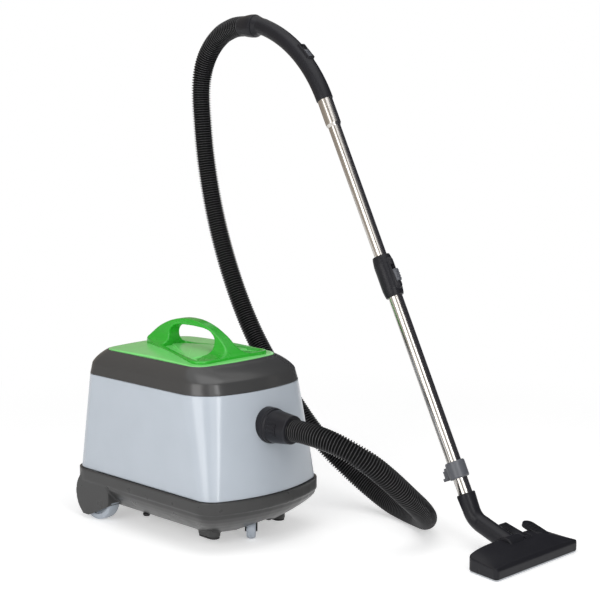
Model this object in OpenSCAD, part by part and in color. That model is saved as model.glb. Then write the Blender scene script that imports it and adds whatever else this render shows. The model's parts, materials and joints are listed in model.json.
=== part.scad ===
// Canister vacuum cleaner for commercial use: a wheeled box body with a bag chamber and a motor
// below it, a suction hose with a bent hand grip, a telescopic steel wand and a floor tool.
// Every height is measured from the floor. The body stands along Y and its hose leaves at -Y.

/* [Body shell] */
// Width of the shell at its foot
shell_w = 334; // [310:1:350]
// Distance from the middle of the body to its front corners, at the foot
shell_front = 206; // [195:1:215]
// Distance from the middle of the body to its rear face, at the foot
shell_rear = 249; // [240:1:260]
// How far the front face bows out past its corners, at the foot
shell_bow = 44; // [30:1:50]
// Radius of the front corners, at the foot
shell_corner_r = 46; // [38:1:52]
// How much narrower each side of the shell is at its rim
shell_side_lean = 6.5; // [3:0.5:10]
// How far the front and rear faces lean in from the foot to the rim
shell_end_lean = 29; // [20:1:32]
// How far the front face bows out at the rim
rim_bow = 35; // [25:1:42]
// Radius of the front corners at the rim
rim_corner_r = 86; // [60:1:92]
// Radius of the rear corners
rear_corner_r = 41; // [34:1:50]
// Height of the foot of the shell over the floor
shell_foot_z = 117; // [116:1:130]
// Height of the shell itself
shell_h = 220; // [200:1:240]
// Wall thickness of the moulded shells
wall = 3; // [2.5:0.1:4]

/* [Base tub] */
// Height of the upright band round the top of the base
lip_h = 27; // [20:1:32]
// How far that band stands proud of the shell
lip_proud = 6; // [3:0.5:8]
// Height of the underside of the base over the floor
base_floor_z = 27; // [24:1:32]
// How far the underside is drawn in from the band
bowl_draw = 60; // [50:1:66]
// Height of the two front feet over the floor
foot_z = 15; // [10:1:20]
// Half the width of a front foot
foot_r = 14; // [10:1:15]
// Length of a front foot between the middles of its round ends
foot_len_y = 30; // [16:1:34]

/* [Wheels] */
// Radius of a rear wheel
wheel_r = 56; // [50:1:57]
// Width of a rear wheel
wheel_w = 30; // [24:1:32]
// Distance of the rear axle behind the middle of the body
axle_y = 181; // [172:1:186]
// Radius of the steel axle
axle_r = 4; // [3:0.5:5]
// Radius of the round cheek that covers a rear wheel
cheek_r = 60; // [60:0.5:62]
// Radius of the front caster wheel
caster_r = 24; // [21:1:26]
// Width of the caster wheel
caster_w = 20; // [16:1:24]
// Distance of the caster's pivot in front of the middle of the body
caster_y = 167; // [160:1:172]
// Distance of the caster's axle from its pivot
caster_trail = 13; // [9:1:16]

/* [Lid] */
// Height of the lid frame, from the shell's rim to the top panel
lid_h = 53; // [45:1:58]
// How late the lid's sides turn in towards the panel: 1 is a straight slope
lid_round = 2.4; // [1.6:0.1:3]
// Half width of the top panel
panel_half_w = 122; // [110:1:128]
// Distance of the panel's front corners from the middle of the body
panel_front = 128; // [120:1:132]
// Distance of the panel's rear edge from the middle of the body
panel_rear = 196; // [188:1:200]
// How far the panel's front edge bows out
panel_bow = 14; // [8:1:18]
// How high the panel is crowned in its middle
panel_crown = 8; // [4:1:10]
// Radius of the lid's hinge pins
hinge_pin_r = 3; // [2:0.25:4]
// Length of one lid hinge
hinge_len = 54; // [40:1:70]
// Distance of each hinge from the middle plane
hinge_x = 82; // [70:1:95]

/* [Carry handle] */
// Height of the top of the handle over the floor
handle_top_z = 466; // [455:1:480]
// Distance of the handle's middle behind the middle of the body
handle_y = 25; // [15:1:35]
// Length of the handle at its feet
handle_len = 296; // [280:1:300]
// Thickness of the arch at its top
handle_thick = 14; // [12:1:18]
// Width of the grip at the top of the arch
handle_w = 27; // [24:1:34]
// Length of the hand opening
hand_len = 154; // [135:1:160]
// How far the hand opening lies in front of the handle's middle
hand_shift = 15; // [8:1:18]
// Half width of the ring that the handle's legs run out into
ring_half_w = 106; // [96:1:109]

/* [Hose and its fittings] */
// Outer diameter of the hose over its ribs
hose_d = 44; // [40:0.5:46]
// Bore of the hose
hose_bore = 36; // [30:0.5:38]
// Depth of a rib
rib_depth = 2.6; // [1.5:0.1:3]
// Number of ribs along the hose
rib_count = 170; // [100:10:190]
// Height of the hose inlet over the floor
inlet_z = 262; // [255:1:268]
// Radius of the socket that stands in the front face
socket_r = 39; // [36:0.5:42]
// Radius of the bore of the socket
socket_bore_r = 30; // [28:0.5:31]
// Distance of the hose's end in front of the middle of the body
hose_start_y = 270; // [270:1:270]
// Length of the cuff outside the socket
inlet_cuff_len = 60; // [56:1:68]

/* [Wand] */
// Distance of the wand's plane from the middle plane of the body
wand_x = 279; // [279:1:279]
// Tilt of the wand from upright
wand_tilt = 26.9; // [26.9:0.1:26.9]
// Length from the floor tool's neck to the hand grip
wand_len = 935; // [920:1:940]
// Radius of the outer, lower tube
outer_tube_r = 16; // [15.5:0.25:17]
// Radius of the inner, upper tube
inner_tube_r = 14.25; // [13:0.25:14.5]
// Wall thickness of the steel tubes
tube_wall = 0.9; // [0.8:0.1:1.2]
// Height of the clamp sleeve along the wand, to its middle
clamp_at = 504; // [480:1:520]
// Length of the clamp sleeve
clamp_len = 96; // [80:1:110]
// Radius of the clamp sleeve
clamp_r = 23; // [21:0.5:26]
// Length of the wide top end of the inner tube
flare_len = 62; // [50:1:70]
// Outer radius of that wide end
flare_r = 17.5; // [16.5:0.25:18]
// How far the wand can be shortened
wand_travel = 290; // [200:10:300]
// Distance of the parking hook from the neck, along the wand
hook_at = 54; // [45:1:70]

/* [Hand grip] */
// Radius of the hand grip
grip_r = 19.5; // [18:0.5:21]
// Radius of the bend along the middle of the grip
grip_bend_r = 330; // [330:1:330]
// Angle over which the grip bends
grip_turn = 46; // [46:1:46]
// Largest radius of the hose cuff at the grip
cuff_r = 27; // [25:0.5:29]
// Length of the hose cuff at the grip
cuff_len = 48; // [48:1:48]

/* [Floor tool] */
// Width of the floor tool
tool_w = 282; // [260:1:300]
// Distance of the tool's front edge in front of the middle of the body
tool_front_y = 738; // [734:1:742]
// Depth of the tool from front to rear
tool_depth = 86; // [82:1:92]
// Height of the tool's upright front edge
tool_lip_h = 22; // [18:1:26]
// Height of the hump over the joint
hump_h = 58; // [56:1:62]
// Radius of the neck
neck_r = 20; // [19:0.5:21]
// Radius of the barrel that the neck turns on
barrel_r = 20; // [19:0.5:21]
// Length of that barrel
barrel_len = 46; // [42:1:50]
// Height of the barrel's axis over the floor
barrel_z = 30; // [29:1:32]
// How far the brushes come down
brush_travel = 5; // [3:0.5:6]

/* [Motor and bag] */
// Radius of the fan housing
fan_r = 70; // [60:1:74]
// Height of the fan housing
fan_h = 58; // [50:1:62]
// Radius of the motor
motor_r = 46; // [40:1:52]
// Height of the deck over the motor
deck_z = 152; // [150:1:158]

/* [Clearances] */
// Gap between pieces that only lie beside each other
seat_gap = 0.3; // [0.2:0.05:0.4]
// Radial clearance of a running fit
run_gap = 0.05; // [0.03:0.01:0.08]
// Radial clearance between a sliding part and its guide
slide_gap = 0.3; // [0.25:0.05:0.4]

/* [Hidden] */
$fn = 64;
HULL_FN = 32;
ARC_STEPS = 9;
OVER = 1;

rim_z = shell_foot_z + shell_h;
half_w = shell_w / 2;
rim_half_w = half_w - shell_side_lean;
rim_front = shell_front - shell_end_lean;
rim_rear = shell_rear - shell_end_lean;
lip_half_w = half_w + lip_proud;
lip_rear = shell_rear + lip_proud;
panel_z = rim_z + seat_gap + lid_h;
panel_recess = 3;
panel_corner_r = 34;
switch_x = 88;
switch_z = 186;
switch_throw = 16;
cord_r = 4.5;
hinge_y = rim_rear + 11;
hinge_z = rim_z + 4;
knuckle_r = hinge_pin_r + 4;

wheel_x = half_w - 4.5 - wheel_w / 2;
pocket_r = wheel_r + 2.5;
pocket_side = 1.5;
bowl_top_z = shell_foot_z - lip_h;
caster_well_r = caster_trail + caster_r + 10;
fork_top_z = 2 * caster_r + 4;
well_top_z = fork_top_z + 3;
stem_r = 5;
axle_half = wheel_x + wheel_w / 2 + pocket_side + 1;
motor_y = 20;
filter_r = 44;
grille_r = 52;

bag_front = 144;
exhaust_w = 140;
front_lean = (shell_end_lean + shell_bow - rim_bow) / shell_h;
front_face_y = shell_front + shell_bow - front_lean * (inlet_z - shell_foot_z);
socket_front_y = front_face_y + 13;
cuff_front_y = socket_front_y + inlet_cuff_len;
flange_y = front_face_y - wall - 3.4 - (socket_r + 7) * front_lean;

tool_centre_y = -tool_front_y + tool_depth / 2;
tool_rear_y = -tool_front_y + tool_depth;
barrel_y = -668;
neck_top = [wand_x, -543, 117];
neck_straight = 57.4;
neck_bend_r = 46;
neck_drop = 20;
brush_gap = 1.2;
sole_h = 3;

// The model's origin is the middle of its footprint, on the floor
box_min_x = -lip_half_w;
box_max_x = wand_x + tool_w / 2;
box_min_y = -tool_front_y;
box_max_y = lip_rear + 3;
origin_x = (box_min_x + box_max_x) / 2;
origin_y = (box_min_y + box_max_y) / 2;

// The hose's route from the inlet to the grip, through its middle
hose_route = [
    [0, -270, 262], [0, -290, 262], [0, -312, 262], [0, -334, 262], [4, -375, 258], [16, -414, 247], [35, -447, 229],
    [62, -472, 203], [98, -489, 168], [140, -497, 129], [190, -490, 91], [240, -465, 58],
    [285, -425, 34], [315, -378, 24], [331, -328, 23], [337, -280, 30], [334, -232, 50],
    [322, -183, 81], [304, -137, 120], [289, -95, 160], [281, -50, 203], [279, 30, 283],
    [279, 105, 367], [279, 165, 458], [279, 218, 566], [279, 259, 680], [279, 287, 800],
    [279, 300, 905], [279, 303, 965], [279, 297, 1009], [279, 282, 1046], [279, 257, 1078],
    [279, 224, 1103], [279, 190, 1116], [279, 171, 1120], [279, 150, 1121], [279, 129, 1121],
    [279, 107, 1121]
];

// ---------------------------------------------------------------- shared shapes

// Points on an arc from angle a0 to a1
function arc_points(cx, cy, r, a0, a1, steps = ARC_STEPS) =
    [for (i = [0 : steps]) let (a = a0 + (a1 - a0) * i / steps) [cx + r * cos(a), cy + r * sin(a)]];

// Plan outline with straight sides, a bowed front and rounded corners, drawn outward by grow
function plan_points(hw, front, rear, bow, corner, rear_r, grow = 0) =
    let (front_r = (hw * hw + bow * bow) / (2 * bow),
         front_cy = front_r - front - bow,
         corner_x = hw - corner,
         corner_cy = front_cy - sqrt(pow(front_r - corner, 2) - pow(corner_x, 2)),
         turn = atan2(corner_x, front_cy - corner_cy))
    concat(
        arc_points(hw - rear_r, rear - rear_r, rear_r + grow, 0, 90),
        arc_points(-hw + rear_r, rear - rear_r, rear_r + grow, 90, 180),
        arc_points(-corner_x, corner_cy, corner + grow, 180, 270 - turn),
        arc_points(0, front_cy, front_r + grow, 270 - turn, 270 + turn),
        arc_points(corner_x, corner_cy, corner + grow, 270 + turn, 360));

// Outline of the body shell at a height, drawn outward by grow
module shell_plan(z, grow = 0) {
    t = (z - shell_foot_z) / shell_h;
    polygon(plan_points(half_w - shell_side_lean * t, shell_front - shell_end_lean * t,
        shell_rear - shell_end_lean * t, shell_bow + (rim_bow - shell_bow) * t,
        shell_corner_r + (rim_corner_r - shell_corner_r) * t, rear_corner_r, grow));
}

// Thin slab of the shell's outline at a height
module shell_slab(z, grow = 0, thick = 0.01) {
    translate([0, 0, z]) linear_extrude(thick) shell_plan(z, grow);
}

// Solid of the shell's outline between two heights
module shell_solid(z0, z1, grow = 0) {
    hull() {
        shell_slab(z0, grow);
        shell_slab(z1 - 0.01, grow);
    }
}

// Outline of the lid's top panel
module panel_plan(grow = 0) {
    polygon(plan_points(panel_half_w, panel_front, panel_rear, panel_bow, panel_corner_r, panel_corner_r, grow));
}

// Cylinder along X, from x0 to x1
module x_rod(x0, x1, r) {
    translate([x0, 0, 0]) rotate([0, 90, 0]) cylinder(r = r, h = x1 - x0);
}

// Moves its children onto the wand: Z runs up the wand, -Y is its upper side
module on_wand(along = 0) {
    translate(neck_top) rotate([-wand_tilt, 0, 0]) translate([0, 0, along]) children();
}

// Copies its children on both sides of the middle plane
module both_sides() {
    children();
    mirror([1, 0, 0]) children();
}

// ---------------------------------------------------------------- base

// Outer form of the tub: an upright band over a bowl that is drawn in to a flat floor
module tub_form(grow = 0, top = shell_foot_z) {
    translate([0, 0, bowl_top_z]) linear_extrude(top - bowl_top_z)
        shell_plan(shell_foot_z, lip_proud + grow);
    hull() {
        translate([0, 0, bowl_top_z + 1.99]) linear_extrude(0.01)
            shell_plan(shell_foot_z, lip_proud - bowl_step + grow);
        for (i = [1 : BOWL_LEVELS]) bowl_slab(i / BOWL_LEVELS, grow);
    }
}

BOWL_LEVELS = 6;
bowl_step = 1.5;

// Thin slab of the bowl at a share of its depth: under the band at 0, round its floor at 1
module bowl_slab(down, grow) {
    draw = bowl_draw * pow(down, 1.7) - (lip_proud - bowl_step) * (1 - down);
    translate([0, 0, bowl_top_z + (base_floor_z - bowl_top_z) * down - grow * down]) linear_extrude(0.01)
        polygon(plan_points(half_w - draw, shell_front - draw, shell_rear - draw,
            shell_bow * (1 - 0.25 * down), shell_corner_r - 14 * down, rear_corner_r - 11 * down, grow));
}

// Side outline of the round cheek over a wheel, in Y and Z
module cheek_outline(r) {
    intersection() {
        translate([axle_y, wheel_r + 2]) circle(r);
        polygon([[0, shell_foot_z], [400, shell_foot_z], [400, 9], [axle_y + 15, 9], [104, 52], [0, 52]]);
    }
}

// A plate with the cheek's outline, between two X places
module cheek(x0, x1, r = cheek_r) {
    translate([x0, 0, 0]) rotate([90, 0, 90]) linear_extrude(x1 - x0) cheek_outline(r);
}

foot_places = [[-98, -138], [98, -138]];
foot_rise = 10;
pad_places = [[-106, 66], [106, 66]];
post_places = [[-118, -105], [118, -105], [-118, 110], [118, 110]];

// Upright block with round ends that runs along Y
module long_foot(r, h) {
    translate([-r, -foot_len_y / 2, 0]) cube([2 * r, foot_len_y, h]);
    for (s = [-1, 1]) translate([0, s * foot_len_y / 2, 0]) cylinder(r = r, h = h);
}

module base_tub() {
    ring_top = shell_foot_z + 8;
    color("#57575a") difference() {
        union() {
            difference() {
                tub_form();
                tub_form(grow = -wall, top = shell_foot_z + OVER);
            }
            both_sides() intersection() {
                cheek(-lip_half_w + 1, -wheel_x + wheel_w / 2 + pocket_side + wall);
                translate([-lip_half_w, 0, 0]) cube([lip_half_w, lip_rear, shell_foot_z]);
            }
            intersection() {
                tub_form();
                translate([0, -caster_y, 0]) cylinder(r = caster_well_r + wall, h = well_top_z + wall);
            }
            translate([0, -caster_y, well_top_z]) cylinder(r = 11, h = 34);
            for (p = foot_places) translate([p[0], p[1], foot_z + 4])
                long_foot(foot_r, base_floor_z - foot_z + foot_rise);
            translate([0, motor_y, base_floor_z]) cylinder(r = motor_r * 0.62, h = wall + 4);
            intersection() {
                for (p = post_places) translate([p[0], p[1], base_floor_z])
                    cylinder(r = 6, h = deck_z - wall - base_floor_z);
                union() {
                    tub_form();
                    translate([-half_w, -half_w, 60]) cube([2 * half_w, 2 * half_w, 100]);
                }
            }
            translate([0, 0, ring_top - 16]) difference() {
                linear_extrude(16) shell_plan(ring_top, -wall - seat_gap);
                translate([0, 0, -OVER]) linear_extrude(18) shell_plan(ring_top, -wall - 3);
            }
            translate([0, 0, shell_foot_z - 8]) difference() {
                linear_extrude(6) shell_plan(shell_foot_z, lip_proud - 1);
                translate([0, 0, -OVER]) linear_extrude(8) shell_plan(shell_foot_z, -wall - 3);
            }
        }
        both_sides() translate([0, axle_y, wheel_r])
            x_rod(-wheel_x - wheel_w / 2 - pocket_side, -wheel_x + wheel_w / 2 + pocket_side, pocket_r);
        translate([0, axle_y, wheel_r]) x_rod(-axle_half, axle_half, axle_r + 0.02);
        translate([0, -caster_y, -OVER]) cylinder(r = caster_well_r, h = well_top_z + OVER);
        translate([0, -caster_y, 0]) cylinder(r = stem_r + run_gap, h = well_top_z + 30);
        translate([-exhaust_w / 2, shell_rear - 30, 88]) cube([exhaust_w, 60, 22]);
        for (p = pad_places) translate([p[0], p[1], 0]) cylinder(r = 5, h = base_floor_z + 2);
        for (p = post_places) translate([p[0], p[1], deck_z - wall - 14]) cylinder(r = 2.02, h = 20);
    }
}

module rubber_feet() {
    color("#1c1c1e") {
        for (p = foot_places) translate([p[0], p[1], foot_z]) long_foot(foot_r - 1.5, 4);
        for (p = pad_places) translate([p[0], p[1], base_floor_z]) {
            translate([0, 0, -6]) cylinder(r1 = 7, r2 = 9, h = 6);
            cylinder(r = 4.9, h = 1.8);
        }
    }
}

module rear_axle() {
    color("#b9bcc0") translate([0, axle_y, wheel_r]) x_rod(-axle_half, axle_half, axle_r);
}

// One rear wheel: a rounded tread, a dished web with spoke ribs, and a hub
module rear_wheel() {
    half = wheel_w / 2;
    rotate([0, 90, 0]) {
        rotate_extrude() difference() {
            union() {
                translate([axle_r + run_gap, -half]) square([9, wheel_w]);
                translate([axle_r, -4]) square([wheel_r - axle_r - 6, 6]);
                translate([wheel_r - 10, -half + 5]) square([6, wheel_w - 10]);
                intersection() {
                    translate([wheel_r - 13, -half]) square([13, wheel_w]);
                    translate([wheel_r - 70, 0]) circle(r = 70, $fn = 160);
                    translate([wheel_r - 13, -half + 2]) square([13, wheel_w - 4]);
                }
            }
            translate([-OVER, -wheel_w]) square([axle_r + run_gap + OVER, wheel_w * 2]);
        }
        for (i = [0 : 5]) rotate([0, 0, i * 60]) translate([axle_r + 6, -1.5, -half + 4])
            cube([wheel_r - axle_r - 16, 3, wheel_w - 8]);
    }
}

module wheel_left() {
    color("#b4bbc4") translate([-wheel_x, axle_y, wheel_r]) rear_wheel();
}

module wheel_right() {
    color("#b4bbc4") translate([wheel_x, axle_y, wheel_r]) mirror([1, 0, 0]) rear_wheel();
}

// Moves its children to the caster's pivot, turned so that it trails towards the front left corner
module at_caster() {
    translate([0, -caster_y, 0]) rotate([0, 0, -45]) children();
}

module caster_fork() {
    arm = 3;
    inner = caster_w / 2 + seat_gap + 0.4;
    color("#2a2a2c") at_caster() difference() {
        union() {
            translate([0, 0, fork_top_z - 4]) cylinder(r = 17, h = 4);
            translate([0, 0, fork_top_z]) cylinder(r = 5, h = 28);
            translate([0, 0, fork_top_z + 0.2]) cylinder(r = 8, h = 2.4);
            for (s = [-1, 1]) translate([s > 0 ? inner : -inner - arm, 0, 0]) hull() {
                translate([0, -caster_trail, caster_r]) x_rod(0, arm, 8);
                translate([0, -10, fork_top_z - 4]) cube([arm, 20, 3.9]);
            }
        }
        translate([0, -caster_trail, caster_r]) x_rod(-inner - arm - OVER, inner + arm + OVER, 2.5);
    }
}

module caster_pin() {
    half = caster_w / 2 + seat_gap + 3.6;
    color("#b9bcc0") at_caster() translate([0, -caster_trail, caster_r]) x_rod(-half, half, 2.5);
}

module caster_wheel() {
    half = caster_w / 2;
    color("#b4bbc4") at_caster() translate([0, -caster_trail, caster_r]) rotate([0, 90, 0])
        rotate_extrude() difference() {
            intersection() {
                translate([0, -half]) square([caster_r, caster_w]);
                translate([caster_r - 16, 0]) circle(r = 16);
            }
            translate([-OVER, -half - OVER]) square([2.5 + run_gap + OVER, caster_w + 2 * OVER]);
        }
}

// ---------------------------------------------------------------- body

module body_shell() {
    color("#b9c1c9") difference() {
        union() {
            difference() {
                shell_solid(shell_foot_z, rim_z);
                shell_solid(shell_foot_z - 4, rim_z + 4, -wall);
            }
            for (s = [-1, 1]) translate([s * hinge_x, 0, 0]) hinge_bracket(false);
        }
        translate([0, -shell_front - shell_bow, inlet_z]) rotate([-90, 0, 0])
            cylinder(r = socket_r + 0.2, h = 60);
        translate([0, hinge_y, hinge_z]) x_rod(-half_w, half_w, hinge_pin_r + 0.02);
        on_rear(switch_x, switch_z) translate([-15, -10, -20]) cube([30, 20, 40]);
        on_rear(-switch_x, switch_z) translate([0, 0, -20]) cylinder(r = 10.2, h = 40);
    }
}

// Hinge knuckles: the outer two stand on the shell, the middle one on the lid
module hinge_bracket(on_lid) {
    third = hinge_len / 3;
    starts = on_lid ? [-third / 2 + seat_gap] : [-hinge_len / 2, third / 2];
    len = on_lid ? third - 2 * seat_gap : third;
    for (x0 = starts) {
        translate([x0, hinge_y, hinge_z]) x_rod(0, len, knuckle_r);
        if (on_lid) translate([x0, hinge_y - 14, hinge_z + 1]) cube([len, 14, 6]);
        else translate([x0, 0, 0]) rotate([90, 0, 90]) linear_extrude(len) polygon([
            [rim_rear - 1.5, rim_z - 3.5], [rim_rear + 2, rim_z - 34], [hinge_y + knuckle_r * 0.9, hinge_z - 3],
            [hinge_y, hinge_z]]);
    }
}

module hinge_pins() {
    color("#b9bcc0") for (s = [-1, 1]) translate([s * hinge_x, hinge_y, hinge_z])
        x_rod(-hinge_len / 2 - 1, hinge_len / 2 + 1, hinge_pin_r);
}

module motor_deck() {
    z0 = shell_foot_z + 8;
    color("#8d9298") difference() {
        union() {
            shell_solid(deck_z - wall, deck_z, -wall - seat_gap - 0.5);
            difference() {
                shell_solid(z0, deck_z - wall, -wall - seat_gap - 0.4);
                shell_solid(z0 - 1, deck_z, -wall - 3.4);
            }
            translate([0, motor_y, deck_z]) cylinder(r = grille_r + 6, h = 3);
        }
        translate([0, motor_y, deck_z - 20]) cylinder(r = filter_r, h = 40);
        translate([0, motor_y, deck_z]) cylinder(r = grille_r + 0.2, h = 10);
        for (p = post_places) translate([p[0], p[1], deck_z - 2 * wall]) cylinder(r = 2.2, h = 3 * wall);
    }
}

module filter_grille() {
    color("#3a3a3d") translate([0, motor_y, deck_z + 0.1]) difference() {
        union() {
            difference() {
                cylinder(r = grille_r, h = 5);
                translate([0, 0, -OVER]) cylinder(r = grille_r - 6, h = 8);
            }
            for (i = [-3 : 3]) translate([-50, i * 13 - 1.5, 0]) intersection() {
                cube([100, 3, 5]);
                translate([50, -i * 13 + 1.5, 0]) cylinder(r = grille_r - 3, h = 5);
            }
        }
    }
}

module motor_filter() {
    color("#d8d8d2") translate([0, motor_y, fan_top_z + seat_gap])
        cylinder(r = filter_r - seat_gap, h = deck_z - fan_top_z - seat_gap);
}

fan_top_z = deck_z - wall - 6;

module fan_housing() {
    color("#c3c6ca") translate([0, motor_y, fan_top_z]) rotate([180, 0, 0]) difference() {
        rotate_extrude() polygon([[18, 0], [fan_r - 6, 0], [fan_r - 2, 2], [fan_r, 6], [fan_r, fan_h - 3],
            [fan_r + 2, fan_h - 3], [fan_r + 2, fan_h], [motor_r + 1, fan_h], [motor_r + 1, fan_h - 1.5],
            [fan_r - 1.5, fan_h - 1.5], [fan_r - 1.5, 7], [fan_r - 5, 1.5], [18, 1.5]]);
        for (i = [0 : 11]) rotate([0, 0, i * 30]) translate([fan_r - 4, -6, 16]) cube([8, 12, 14]);
    }
}

module motor() {
    top = fan_top_z - fan_h + 1.2;
    bottom = base_floor_z + wall + 4 + 5;
    color("#6f7378") translate([0, motor_y, 0]) {
        translate([0, 0, bottom]) cylinder(r = motor_r * 0.55, h = 6);
        difference() {
            translate([0, 0, bottom + 5]) cylinder(r = motor_r, h = top - bottom - 5);
            for (i = [0 : 7]) rotate([0, 0, i * 45 + 10]) translate([motor_r - 6, -5, bottom + 12])
                cube([10, 10, 14]);
        }
        translate([0, 0, top - OVER]) cylinder(r = 5, h = fan_h - 8);
        translate([0, 0, top + 8]) cylinder(r = fan_r - 8, h = 20);
    }
}

module motor_rings() {
    color("#232325") translate([0, motor_y, 0]) {
        translate([0, 0, fan_top_z]) rotate_extrude() translate([46, 0]) square([12, 6]);
        translate([0, 0, base_floor_z + wall + 4]) rotate_extrude() difference() {
            translate([motor_r * 0.3, 0]) square([motor_r * 0.3, 9]);
            translate([0, 5]) square([motor_r * 0.55 + 0.2, 10]);
        }
    }
}

module exhaust_filter() {
    color("#ddddda") translate([-exhaust_w / 2 + 4, lip_rear - 13.8, 90]) cube([exhaust_w - 8, 10, 18]);
}

module exhaust_grille() {
    color("#3d3d40") translate([0, lip_rear, 99]) {
        difference() {
            union() {
                translate([-exhaust_w / 2 - 6, 0, -14]) cube([exhaust_w + 12, 3, 28]);
                translate([-exhaust_w / 2 + seat_gap, -3.5, -10.7]) cube([exhaust_w - 2 * seat_gap, 4, 21.4]);
            }
            for (i = [-2 : 2]) translate([-exhaust_w / 2 + 6, -8, i * 4 - 1]) cube([exhaust_w - 12, 20, 2]);
        }
    }
}

module dust_bag() {
    r = 26;
    color("#e6e1d4") hull() for (x = [-105, 105], y = [r - bag_front, 150],
            z = [deck_z + 5.4 + r, rim_z - 18 - r])
        translate([x, y, z]) sphere(r = r, $fn = HULL_FN);
}

module bag_collar() {
    color("#c9a36a") on_inlet(bag_front + seat_gap) difference() {
        translate([-55, -62, 0]) cube([110, 124, 3]);
        translate([0, 0, -OVER]) cylinder(r = socket_bore_r + 3.6, h = 6);
    }
}

module bag_guides() {
    color("#3a3a3d") for (s = [-1, 1]) translate([s * 60, 0, 0]) difference() {
        translate([-8, -bag_front - 14, deck_z]) cube([16, 15.5, inlet_z + 60 - deck_z]);
        translate([s > 0 ? -9 : -4.7, -bag_front - 3.6, inlet_z - 62.3]) cube([13.7, 3.6, 140]);
        translate([-9, -bag_front - 0.1, deck_z - 1]) cube([18, 3, 200]);
    }
}

module inlet_socket() {
    flange = flange_y;
    color("#1d1d1f") on_inlet() rotate_extrude() polygon([
        [socket_bore_r, bag_front + 1], [socket_bore_r + 3, bag_front + 1], [socket_bore_r + 3, flange - 14],
        [socket_r + 7, flange - 4], [socket_r + 7, flange], [socket_r, flange],
        [socket_r, socket_front_y - 2], [socket_r - 2, socket_front_y],
        [socket_bore_r + run_gap, socket_front_y], [socket_bore_r + run_gap, flange - 17],
        [socket_bore_r, flange - 17]]);
}

module socket_seal() {
    color("#2b2b2d") intersection() {
        on_inlet(flange_y + 0.1) difference() {
            cylinder(r = socket_r + 6.6, h = 30);
            translate([0, 0, -OVER]) cylinder(r = socket_r + 0.1, h = 32);
        }
        shell_solid(shell_foot_z, rim_z, -wall - 0.05);
    }
}

module body_screws() {
    color("#c8cbcf") for (p = post_places) translate([p[0], p[1], deck_z]) difference() {
        union() {
            cylinder(r = 4, h = 2.4);
            translate([0, 0, -15]) cylinder(r = 2, h = 15);
        }
        translate([-3, -0.6, 1.4]) cube([6, 1.2, 2]);
        translate([-0.6, -3, 1.4]) cube([1.2, 6, 2]);
    }
}

// ---------------------------------------------------------------- lid

LID_LEVELS = 8;
lid_edge = 3;

// Outline of the lid at a share of its height: the shell's rim at 0, a rim round the panel at 1
module lid_plan(up, grow = 0) {
    t = pow(up, lid_round);
    function mix(a, b) = a + (b - a) * t;
    polygon(plan_points(mix(rim_half_w, panel_half_w + lid_edge), mix(rim_front, panel_front + lid_edge),
        mix(rim_rear, panel_rear + lid_edge), mix(rim_bow, panel_bow),
        mix(rim_corner_r, panel_corner_r + lid_edge), mix(rear_corner_r, panel_corner_r + lid_edge), grow));
}

module lid_form(grow = 0, top_drop = 0) {
    hull() for (i = [0 : LID_LEVELS]) let (up = i / LID_LEVELS)
        translate([0, 0, rim_z + seat_gap + (lid_h - top_drop - 0.01) * up]) linear_extrude(0.01)
            lid_plan(up, grow);
}

module lid_frame() {
    color("#525255") difference() {
        union() {
            difference() {
                lid_form();
                lid_form(-wall, panel_recess + wall);
                translate([0, 0, rim_z - OVER]) linear_extrude(OVER + 2 * seat_gap) shell_plan(rim_z, -wall);
            }
            translate([0, 0, rim_z + seat_gap]) difference() {
                linear_extrude(5) shell_plan(rim_z, -wall + 0.5);
                translate([0, 0, -OVER]) linear_extrude(8) shell_plan(rim_z, -wall - 9);
            }
            translate([0, 0, rim_z - 6]) difference() {
                linear_extrude(7) shell_plan(rim_z, -wall - 4.4);
                translate([0, 0, -OVER]) linear_extrude(9) shell_plan(rim_z, -wall - 7);
            }
            for (s = [-1, 1]) translate([s * hinge_x, 0, 0]) hinge_bracket(true);
        }
        translate([0, 0, panel_z - panel_recess]) linear_extrude(10) panel_plan(0.2);
        translate([0, hinge_y, hinge_z]) x_rod(-half_w, half_w, hinge_pin_r + run_gap);
        for (s = [-1, 1], side = [-1, 1]) translate([s * hinge_x, hinge_y, hinge_z])
            x_rod(side > 0 ? hinge_len / 6 - seat_gap + 0.01 : -hinge_len / 2 - 1,
                side > 0 ? hinge_len / 2 + 1 : -hinge_len / 6 + seat_gap - 0.01, knuckle_r + seat_gap);
    }
}

module lid_seal() {
    color("#1f1f21") translate([0, 0, rim_z + seat_gap - 2.2]) difference() {
        linear_extrude(2.2) shell_plan(rim_z, -wall - 0.6);
        translate([0, 0, -OVER]) linear_extrude(4) shell_plan(rim_z, -wall - 4.2);
    }
}

// The panel is crowned like a slice of a large ball, of this radius
crown_half = sqrt(pow(panel_half_w, 2) + pow((panel_front + panel_rear) / 2, 2));
crown_r = (crown_half * crown_half + panel_crown * panel_crown) / (2 * panel_crown);

// Round body with a crowned top at height 0, turned about Z
module crown(ball_r, reach, depth) {
    steps = 8;
    rotate_extrude() polygon(concat([[0, -depth], [reach, -depth]],
        [for (i = [0 : steps]) let (r = reach * (1 - i / steps)) [r, sqrt(ball_r * ball_r - r * r) - ball_r]]));
}

// Plan of the ring that the handle stands on: narrow at the rear, wide at the front
module ring_plan(grow = 0) {
    front_r = 28;
    rear_r = 22;
    front_y = handle_y - handle_len / 2;
    rear_y = handle_y + handle_len / 2;
    hull() {
        translate([0, rear_y - rear_r]) circle(rear_r + grow, $fn = HULL_FN);
        for (s = [-1, 1]) translate([s * (ring_half_w - front_r), front_y + front_r])
            circle(front_r + grow, $fn = HULL_FN);
    }
}

ring_w = 13;
hand_y = handle_y - hand_shift;
ring_floor_z = panel_z + 1;
hump_z = panel_z + 10;
hump_r = 1400;

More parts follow.
